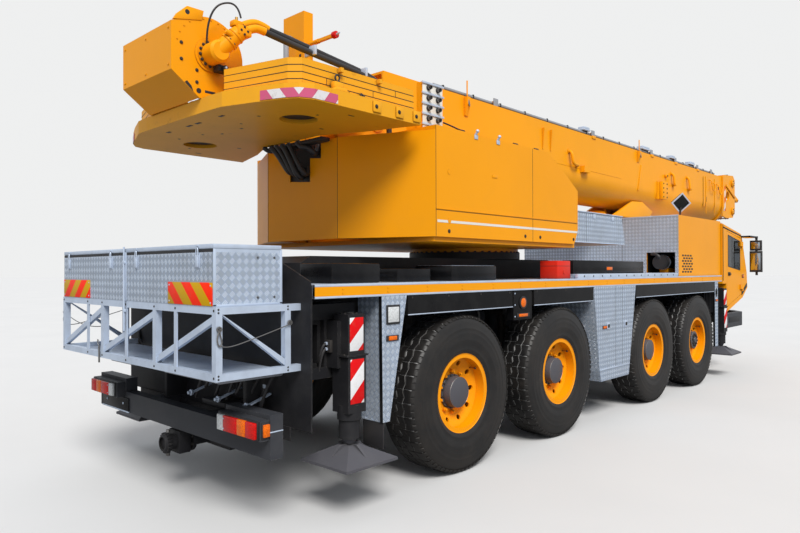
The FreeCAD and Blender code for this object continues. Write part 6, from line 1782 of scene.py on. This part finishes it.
@dataclass
class CabDress:
    """Trim, lamps, wipers, mirrors and handles of the driver's cab."""

    half: float = 1.330
    nose: float = 3.460

    def roof(self, form: Form) -> None:
        """The pale roof edge, the drip rail and a round beacon."""
        form.use(Finish.WHITE).prism("y", ((1.990, 2.508), (2.958, 2.374), (2.962, 2.386), (1.992, 2.526)), -1.310, 1.310,
                                     0.003)
        for sign in (-1.0, 1.0):
            near, far = sorted((sign * 1.312, sign * 1.338))
            form.use(Finish.PLASTIC).prism("y", ((2.00, 2.440), (2.955, 2.330), (2.958, 2.346), (2.00, 2.458)), near, far, 0.003)
        form.use(Finish.PLASTIC).rod((2.25, 0.85, 2.470), (2.25, 0.85, 2.500), 0.085, sides=32, bevel=0.006)
        form.use(Finish.ORANGE_LENS).rod((2.25, 0.85, 2.500), (2.25, 0.85, 2.610), 0.066, tip=0.052, sides=32, bevel=0.014)

    def front(self, form: Form) -> None:
        """Grille slats, lamps, wipers and a dark strip up the windscreen's middle."""
        for index, z in enumerate((1.62, 1.55, 1.48)):
            x = 3.312 + (1.690 - z) * 35 / 270
            form.use(Finish.PLASTIC).block((x - 0.010, -0.90, z - 0.010), (x + 0.016, 0.90, z + 0.012), 0.005)
        form.prism("y", ((3.045, 2.268), (3.052, 2.274), (3.255, 1.812), (3.246, 1.806)), -0.012, 0.012)
        for sign in (-1.0, 1.0):
            for y, finish in ((0.76, Finish.CLEAR_LENS), (0.94, Finish.CLEAR_LENS)):
                form.use(Finish.PLASTIC).lathe([(-0.03, 0.0), (-0.03, 0.074), (0.008, 0.078), (0.012, 0.066), (0.004, 0.0)],
                                               (self.nose - 0.03 - (abs(y) - 0.6) * 0.125, sign * y, 0.90), (1, 0, 0), 36)
                form.use(finish).lathe([(0.0, 0.0), (0.0, 0.064), (0.014, 0.056), (0.020, 0.0)],
                                       (self.nose - 0.03 - (abs(y) - 0.6) * 0.125, sign * y, 0.90), (1, 0, 0), 36)
            near, far = sorted((sign * 1.07, sign * 1.20))
            form.use(Finish.ORANGE_LENS).block((3.30, near, 0.86), (3.345, far, 0.94), 0.010)
            form.use(Finish.PLASTIC).bar((3.300, sign * 0.30, 1.770), (3.190, sign * 0.80, 2.010), 0.012, 0.016, 0.002)
            form.use(Finish.HOSE).bar((3.214, sign * 0.44, 1.965), (3.150, sign * 1.02, 2.110), 0.008, 0.022, 0.002)
        form.use(Finish.RACK).block((self.nose - 0.002, -0.30, 0.78), (self.nose + 0.006, 0.30, 0.80), 0.002)
        form.use(Finish.WHITE).block((self.nose - 0.001, -0.26, 0.802), (self.nose + 0.005, 0.26, 0.912), 0.002)
        form.use(Finish.CAST)
        for y in (-0.52, 0.52):
            form.hose(((self.nose - 0.01, y - 0.03, 0.84), (self.nose + 0.05, y - 0.03, 0.84), (self.nose + 0.05, y + 0.03, 0.84),
                       (self.nose - 0.01, y + 0.03, 0.84)), 0.010, 10, 3)

    def side(self, form: Form) -> None:
        """Marker, steps, bumper trim and the dark panel behind the door."""
        for sign in (-1.0, 1.0):
            near, far = sorted((sign * 1.320, sign * 1.327))
            form.use(Finish.PLASTIC).block((2.32, near, 0.845), (2.88, far, 0.935), 0.006)
            near, far = sorted((sign * self.half, sign * (self.half + 0.008)))
            form.use(Finish.PLASTIC).prism("y", ((2.985, 1.290), (3.290, 1.440), (3.285, 1.500), (2.985, 1.340)), near, far,
                                           0.002)
            form.use(Finish.PLASTIC).block((3.010, near, 1.600), (3.110, far, 1.655), 0.003)
            form.use(Finish.ORANGE_LENS).block((3.022, min(near, far) - (0.004 if sign < 0 else 0), 1.610),
                                               (3.098, max(near, far) + (0.004 if sign > 0 else 0), 1.645), 0.004)
            form.use(Finish.FRAME).block((1.985, near, 1.56), (1.990, far, 2.49))
            form.use(Finish.PLATE).block((2.30, min(sign * 1.10, sign * 1.318), 0.955), (2.86, max(sign * 1.10, sign * 1.318),
                                                                                     0.959))

    def mirrors(self, form: Form) -> None:
        """Glass and joints on the mirror heads."""
        for sign in (-1.0, 1.0):
            near, far = sorted((sign * 1.385, sign * 1.545))
            form.use(Finish.MIRROR).block((3.3425, near, 1.735), (3.3455, far, 2.035), 0.001)
            near, far = sorted((sign * 1.395, sign * 1.535))
            form.block((3.3425, near, 2.115), (3.3455, far, 2.230), 0.001)
            form.use(Finish.PLASTIC)
            near, far = sorted((sign * 1.366, sign * 1.564))
            form.block((3.3435, near, 1.696), (3.404, far, 2.074), 0.003)
            near, far = sorted((sign * 1.371, sign * 1.559))
            form.block((3.3435, near, 2.081), (3.404, far, 2.264), 0.003)
            near, far = sorted((sign * 1.448, sign * 1.482))
            form.block((2.966, near, 2.308), (3.422, far, 2.337), 0.003)
            form.block((3.388, near, 1.640), (3.424, far, 2.312), 0.003)
            near, far = sorted((sign * 1.300, sign * 1.482))
            form.block((2.966, near, 2.308), (3.002, far, 2.337), 0.003)
            for z in (1.88, 2.17, 2.32):
                form.rod((3.405, sign * 1.465, z - 0.02), (3.405, sign * 1.465, z + 0.02), 0.024, sides=18, bevel=0.003)

    def doors(self) -> None:
        """Handles, panes and seals on the two doors."""
        for side, sign in SIDES:
            form = Form(Finish.PLASTIC)
            near, far = sorted((sign * (self.half + 0.001), sign * (self.half + 0.006)))
            form.block((2.245, near, 1.640), (2.370, far, 1.700), 0.002)
            near, far = sorted((sign * (self.half + 0.004), sign * (self.half + 0.026)))
            form.block((2.262, near, 1.658), (2.352, far, 1.676), 0.005)
            form.use(Finish.CAST).bolt((2.39, sign * self.half, 1.668), (0, sign, 0), 0.011, 0.005)
            near, far = sorted((sign * (self.half - 0.004), sign * (self.half + 0.0012)))
            form.use(Finish.GLASS).prism("y", ((2.257, 1.802), (2.903, 1.737), (2.903, 2.233), (2.257, 2.323)), near, far)
            form.use(Finish.HOSE)
            pane = ((2.255, 1.800), (2.905, 1.735), (2.905, 2.235), (2.255, 2.325))
            for (x, z), (far_x, far_z) in zip(pane, pane[1:] + pane[:1]):
                form.bar((x, sign * (self.half + 0.001), z), (far_x, sign * (self.half + 0.001), far_z), 0.006, 0.016, 0.002)
            form.bar((2.470, sign * (self.half + 0.001), 1.78), (2.470, sign * (self.half + 0.001), 2.295), 0.006, 0.018,
                     0.002)
            form.piece(f"cab_door_trim_{side}", f"cab_door_{side}")

    def build(self) -> None:
        """Make the cab's pieces."""
        form = Form(Finish.PLASTIC)
        self.roof(form)
        self.front(form)
        self.side(form)
        self.mirrors(form)
        form.piece("cab_trim", "carrier")
        self.doors()


@dataclass
class DeckGear:
    """What lies on the deck and hangs under it: profiles, boxes, rivets, tanks and lines."""

    half: float = 1.375

    def profiles(self, form: Form) -> None:
        """The silver profile with its holes as dark discs of painted shade, rivets of the edge band, and tread plate on
        the deck.
        """
        for sign in (-1.0, 1.0):
            near, far = sorted((sign * 1.330, sign * 1.372))
            low, high = sorted((sign * 1.168, sign * 1.302))
            form.use(Finish.BLACK).block((-2.982, low, 1.700), (-1.118, high, 1.852), 0.003)
            form.use(Finish.RACK).block((-3.0, near, 1.648), (-0.10, far, 1.700), 0.003)
            near, far = sorted((sign * 1.3705, sign * 1.3735))
            # dark discs for the profile's holes: painted shade
            form.use(Finish.PLASTIC)
            for step in range(13):
                form.rod((-2.86 + step * 0.215, near, 1.674), (-2.86 + step * 0.215, far, 1.674), 0.011, sides=14)
            form.use(Finish.YELLOW)
            for step in range(18):
                x = -6.42 + step * 0.455
                form.bolts((x, sign * (self.half + 0.004), 1.585), (x, sign * (self.half + 0.004), 1.615), 2, (0, sign, 0),
                           0.006, 0.004)
            near, far = sorted((sign * 0.52, sign * 1.32))
            form.use(Finish.PLATE).block((-6.64, near, 1.646), (-3.42, far, 1.649))
            form.block((-0.95, near, 1.646), (0.08, far, 1.649))
            near, far = sorted((sign * 0.62, sign * 0.98))
            form.block((-1.12, near, 1.652), (-0.64, far, 1.752), 0.004)
            near, far = sorted((sign * 1.095, sign * 1.305))
            form.use(Finish.RED).block((-3.328, near, 1.650), (-3.049, far, 1.843), 0.006)
            form.use(Finish.PLASTIC).block((-3.329, near - 0.001, 1.785), (-3.048, far + 0.001, 1.789), 0.001)
            near, far = sorted((sign * 1.296, sign * 1.306))
            form.use(Finish.PLASTIC).block((-2.20, near, 1.735), (-2.02, far, 1.785), 0.003)
            near, far = sorted((sign * 1.302, sign * 1.312))
            form.use(Finish.ORANGE_LENS).block((-2.18, near, 1.742), (-2.04, far, 1.778), 0.004)
        form.use(Finish.RED).rod((-3.19, -1.306, 1.72), (-3.19, -1.312, 1.72), 0.02, sides=16)

    def boxes(self, form: Form) -> None:
        """Dark valve boxes, a battery box and hoses beside the slewing ring."""
        form.use(Finish.BLACK)
        for low, high in (((-6.35, -1.18, 1.650), (-5.85, -0.80, 1.800)), ((-5.62, -1.15, 1.650), (-5.20, -0.72, 1.760)),
                          ((-5.00, -1.22, 1.650), (-4.32, -0.78, 1.785)), ((-6.35, 0.80, 1.650), (-5.70, 1.18, 1.810)),
                          ((-5.00, 0.78, 1.650), (-4.32, 1.22, 1.785))):
            form.block(low, high, 0.012)
        form.use(Finish.PLATE).block((-4.98, -1.20, 1.785), (-4.34, -0.80, 1.788))
        form.use(Finish.HOSE)
        for index in range(5):
            y = -0.62 - index * 0.045
            form.hose(((-6.10, y - 0.15, 1.70), (-5.80, y, 1.78), (-5.30, y, 1.72), (-4.60, y + 0.02, 1.76), (-4.05, y + 0.06, 1.74),
                       (-3.95, y + 0.12, 1.68)), 0.013, 8)
        form.use(Finish.CAST).ring((-3.25, 0.0, 1.945), (0, 0, 1), 0.642, 48, 0.014, 0.014)
        for index in range(4):
            form.use(Finish.RACK).lathe([(0.0, 0.0), (0.0, 0.016), (0.02, 0.02), (0.05, 0.012), (0.05, 0.0)],
                                        (-5.72, -1.02 + index * 0.06, 1.70), (-1, 0, 0), 16)

    def tanks(self, form: Form) -> None:
        """Air tanks with straps, brake cylinders and lines under the frame."""
        for sign in (-1.0, 1.0):
            for x in (-2.35, -1.98):
                form.use(Finish.FRAME).rod((x, sign * 0.56, 1.28), (x, sign * 0.735, 1.28), 0.130, sides=36, bevel=0.030)
            for x in (-4.20, 0.0):
                form.use(Finish.FRAME).rod((x - 0.33, sign * 0.66, 1.26), (x + 0.33, sign * 0.66, 1.26), 0.115, sides=36,
                                           bevel=0.040)
                form.use(Finish.STEEL)
                for shift in (-0.2, 0.2):
                    form.lathe([(-0.015, 0.115), (-0.015, 0.119), (0.015, 0.119), (0.015, 0.115), (-0.015, 0.115)],
                               (x + shift, sign * 0.66, 1.26), (1, 0, 0), 36)
                    form.use(Finish.FRAME).bar((x + shift, sign * 0.66, 1.36), (x + shift, sign * 0.502, 1.40), 0.03, 0.05, 0.003)
                    form.use(Finish.STEEL)
            form.use(Finish.HOSE)
            for x in (-5.0, -3.35):
                form.hose(((x + 0.18, sign * 0.502, 1.10), (x + 0.22, sign * 0.62, 1.08), (x + 0.24, sign * 0.76, 0.94),
                           (x + 0.16, sign * 0.84, 0.84), (x + 0.10, sign * 0.86, 0.775)), 0.012, 8)
                form.use(Finish.CAST).lathe([(0.0, 0.0), (0.0, 0.080), (0.05, 0.085), (0.06, 0.092), (0.07, 0.092),
                                             (0.08, 0.085), (0.14, 0.078), (0.15, 0.0)], (x + 0.12, sign * 0.70, 0.86),
                                            (1, 0, 0), 32)
                form.use(Finish.HOSE)
        form.use(Finish.FRAME).block((-6.710, -1.15, 0.560), (-6.702, 1.15, 0.655))

    def build(self) -> None:
        """Make the deck's gear."""
        form = Form(Finish.RACK)
        self.profiles(form)
        self.boxes(form)
        form.piece("deck_gear", "carrier")
        form = Form(Finish.FRAME)
        self.tanks(form)
        form.piece("frame_gear", "carrier")


@dataclass(frozen=True)
class Studio:
    """The camera at the photograph's viewing angle, plain soft light and a pale floor."""

    eye: Point = (-9.457, -4.810, 1.7445)
    heading: float = 43.427
    pitch: float = 0.345
    roll: float = -0.160
    lens: float = 29.13
    sensor: float = 36.0
    floor_size: float = 400.0

    def place_camera(self) -> None:
        """Stand the camera where the photographer stood."""
        heading, pitch, roll = (math.radians(turn) for turn in (self.heading, self.pitch, self.roll))
        ahead = Vector((math.cos(heading) * math.cos(pitch), math.sin(heading) * math.cos(pitch), math.sin(pitch)))
        right = ahead.cross(Vector((0, 0, 1))).normalized()
        top = right.cross(ahead)
        level, upright = math.cos(roll), math.sin(roll)
        axes = (right * level + top * upright, top * level - right * upright, -ahead)
        view = bpy.data.cameras.new("camera")
        view.lens = self.lens
        view.sensor_width = self.sensor
        view.clip_end = 1000.0
        holder = bpy.data.objects.new("camera", view)
        holder.matrix_world = Matrix.Translation(self.eye) @ Matrix(axes).transposed().to_4x4()
        bpy.context.scene.collection.objects.link(holder)
        bpy.context.scene.camera = holder

    def light(self) -> None:
        """Hang a soft sun and a pale sky."""
        lamp = bpy.data.lights.new("soft_sun", "SUN")
        lamp.energy = 3.1
        lamp.angle = math.radians(24)
        lamp.color = (1.0, 0.975, 0.94)
        holder = bpy.data.objects.new("soft_sun", lamp)
        towards = Vector((0.54, 0.82, -1.02))
        holder.rotation_euler = towards.to_track_quat("-Z", "Y").to_euler()
        bpy.context.scene.collection.objects.link(holder)
        world = bpy.data.worlds.new("sky")
        bpy.context.scene.world = world
        world.use_nodes = True
        tree = world.node_tree
        seen = tree.nodes.new("ShaderNodeLightPath")
        shown = tree.nodes.new("ShaderNodeMixShader")
        lit = tree.nodes["Background"]
        lit.inputs["Color"].default_value = (0.86, 0.89, 0.93, 1.0)
        lit.inputs["Strength"].default_value = 0.66
        backdrop = tree.nodes.new("ShaderNodeBackground")
        backdrop.inputs["Color"].default_value = (0.862, 0.868, 0.868, 1.0)
        either = tree.nodes.new("ShaderNodeMath")
        either.operation = "MAXIMUM"
        tree.links.new(seen.outputs["Is Camera Ray"], either.inputs[0])
        tree.links.new(seen.outputs["Is Transmission Ray"], either.inputs[1])
        tree.links.new(either.outputs[0], shown.inputs[0])
        tree.links.new(lit.outputs[0], shown.inputs[1])
        tree.links.new(backdrop.outputs[0], shown.inputs[2])
        tree.links.new(shown.outputs[0], tree.nodes["World Output"].inputs["Surface"])

    def lay_floor(self) -> None:
        """Lay a plain pale floor under the wheels."""
        ground = bmesh.new()
        bmesh.ops.create_grid(ground, x_segments=1, y_segments=1, size=self.floor_size / 2)
        mesh = bpy.data.meshes.new("floor")
        ground.to_mesh(mesh)
        ground.free()
        shader = Shader("floor")
        cloud = shader.ramp(shader.noise(0.5, 4), 0.3, 0.7)
        pale = shader.mix(cloud, (0.66, 0.665, 0.67), (0.69, 0.693, 0.696))
        seen = shader.add("LightPath").outputs["Is Camera Ray"]
        mesh.materials.append(shader.dress(Base_Color=shader.mix(seen, (0.26, 0.26, 0.26), pale),
                                           Roughness=0.9))
        floor = bpy.data.objects.new("floor", mesh)
        bpy.context.scene.collection.objects.link(floor)

    def build(self) -> None:
        """Set up the whole studio."""
        self.place_camera()
        self.light()
        self.lay_floor()
        bpy.context.scene.view_settings.view_transform = "Standard"


CAD_FINISHES = {
    Finish.YELLOW: ("hood", "operator_cab", "engine_housing", "cab_shell", "cab_door_right", "cab_door_left",
                    "slew_platform", "winch_frame", "lift_barrel"),
    Finish.BOOM: ("boom_base", "boom_section_1", "boom_section_2", "boom_section_3"),
    Finish.BALLAST: ("counterweight_plate", "ballast_slabs"),
    Finish.FRAME: ("chassis_frame", "outrigger_boxes", "beam_front_right", "beam_front_left", "beam_rear_right",
                   "beam_rear_left"),
    Finish.BLACK: ("side_skirts",),
    Finish.BUMPER: ("bumpers",),
    Finish.PLATE: ("deck", "side_lockers", "rack_lid_right", "rack_lid_left"),
    Finish.RACK: ("rear_rack",),
    Finish.CAST: ("axles", "engine_block", "knuckle_1_right", "knuckle_1_left", "knuckle_2_right",
                  "knuckle_2_left"),
    Finish.HUB: ("jack_front_right", "jack_front_left", "jack_rear_right", "jack_rear_left"),
    Finish.STEEL: ("winch_drum",),
    Finish.CHROME: ("lift_rod",),
    Finish.GLASS: ("cab_glass", "operator_glass"),
    Finish.PLASTIC: ("cab_interior",),
    Finish.TYRE: tuple(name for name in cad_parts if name.startswith("tyre_")),
    Finish.RIM: tuple(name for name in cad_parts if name.startswith("rim_")),
}


def dress_frame() -> None:
    """Give every listed CAD node its finish."""
    for finish, names in CAD_FINISHES.items():
        for name in names:
            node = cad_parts[name]
            node.data.materials.clear()
            node.data.materials.append(material_of(finish))


def main() -> None:
    """Build the studio and the crane's looks."""
    logging.basicConfig(level=logging.INFO, format="%(name)s: %(message)s")
    Studio().build()
    dress_frame()
    for axle in (1, 2, 3, 4):
        for side, sign in SIDES:
            wheel = Wheel(axle, side, sign)
            wheel.tyre()
            wheel.hub()
    for end in ("front", "rear"):
        for side, sign in SIDES:
            LegDress(end, side, sign).build()
    for part in (BoomDress(), WinchDress(), BallastDress(), HoodDress(), HousingDress(), BoomTrim(), HeadDress(),
                 DeckDress(), DeckGear(), RackDress(), TailDress(), MudDress(), CabDress()):
        part.build()


if __name__ == "__main__":
    main()
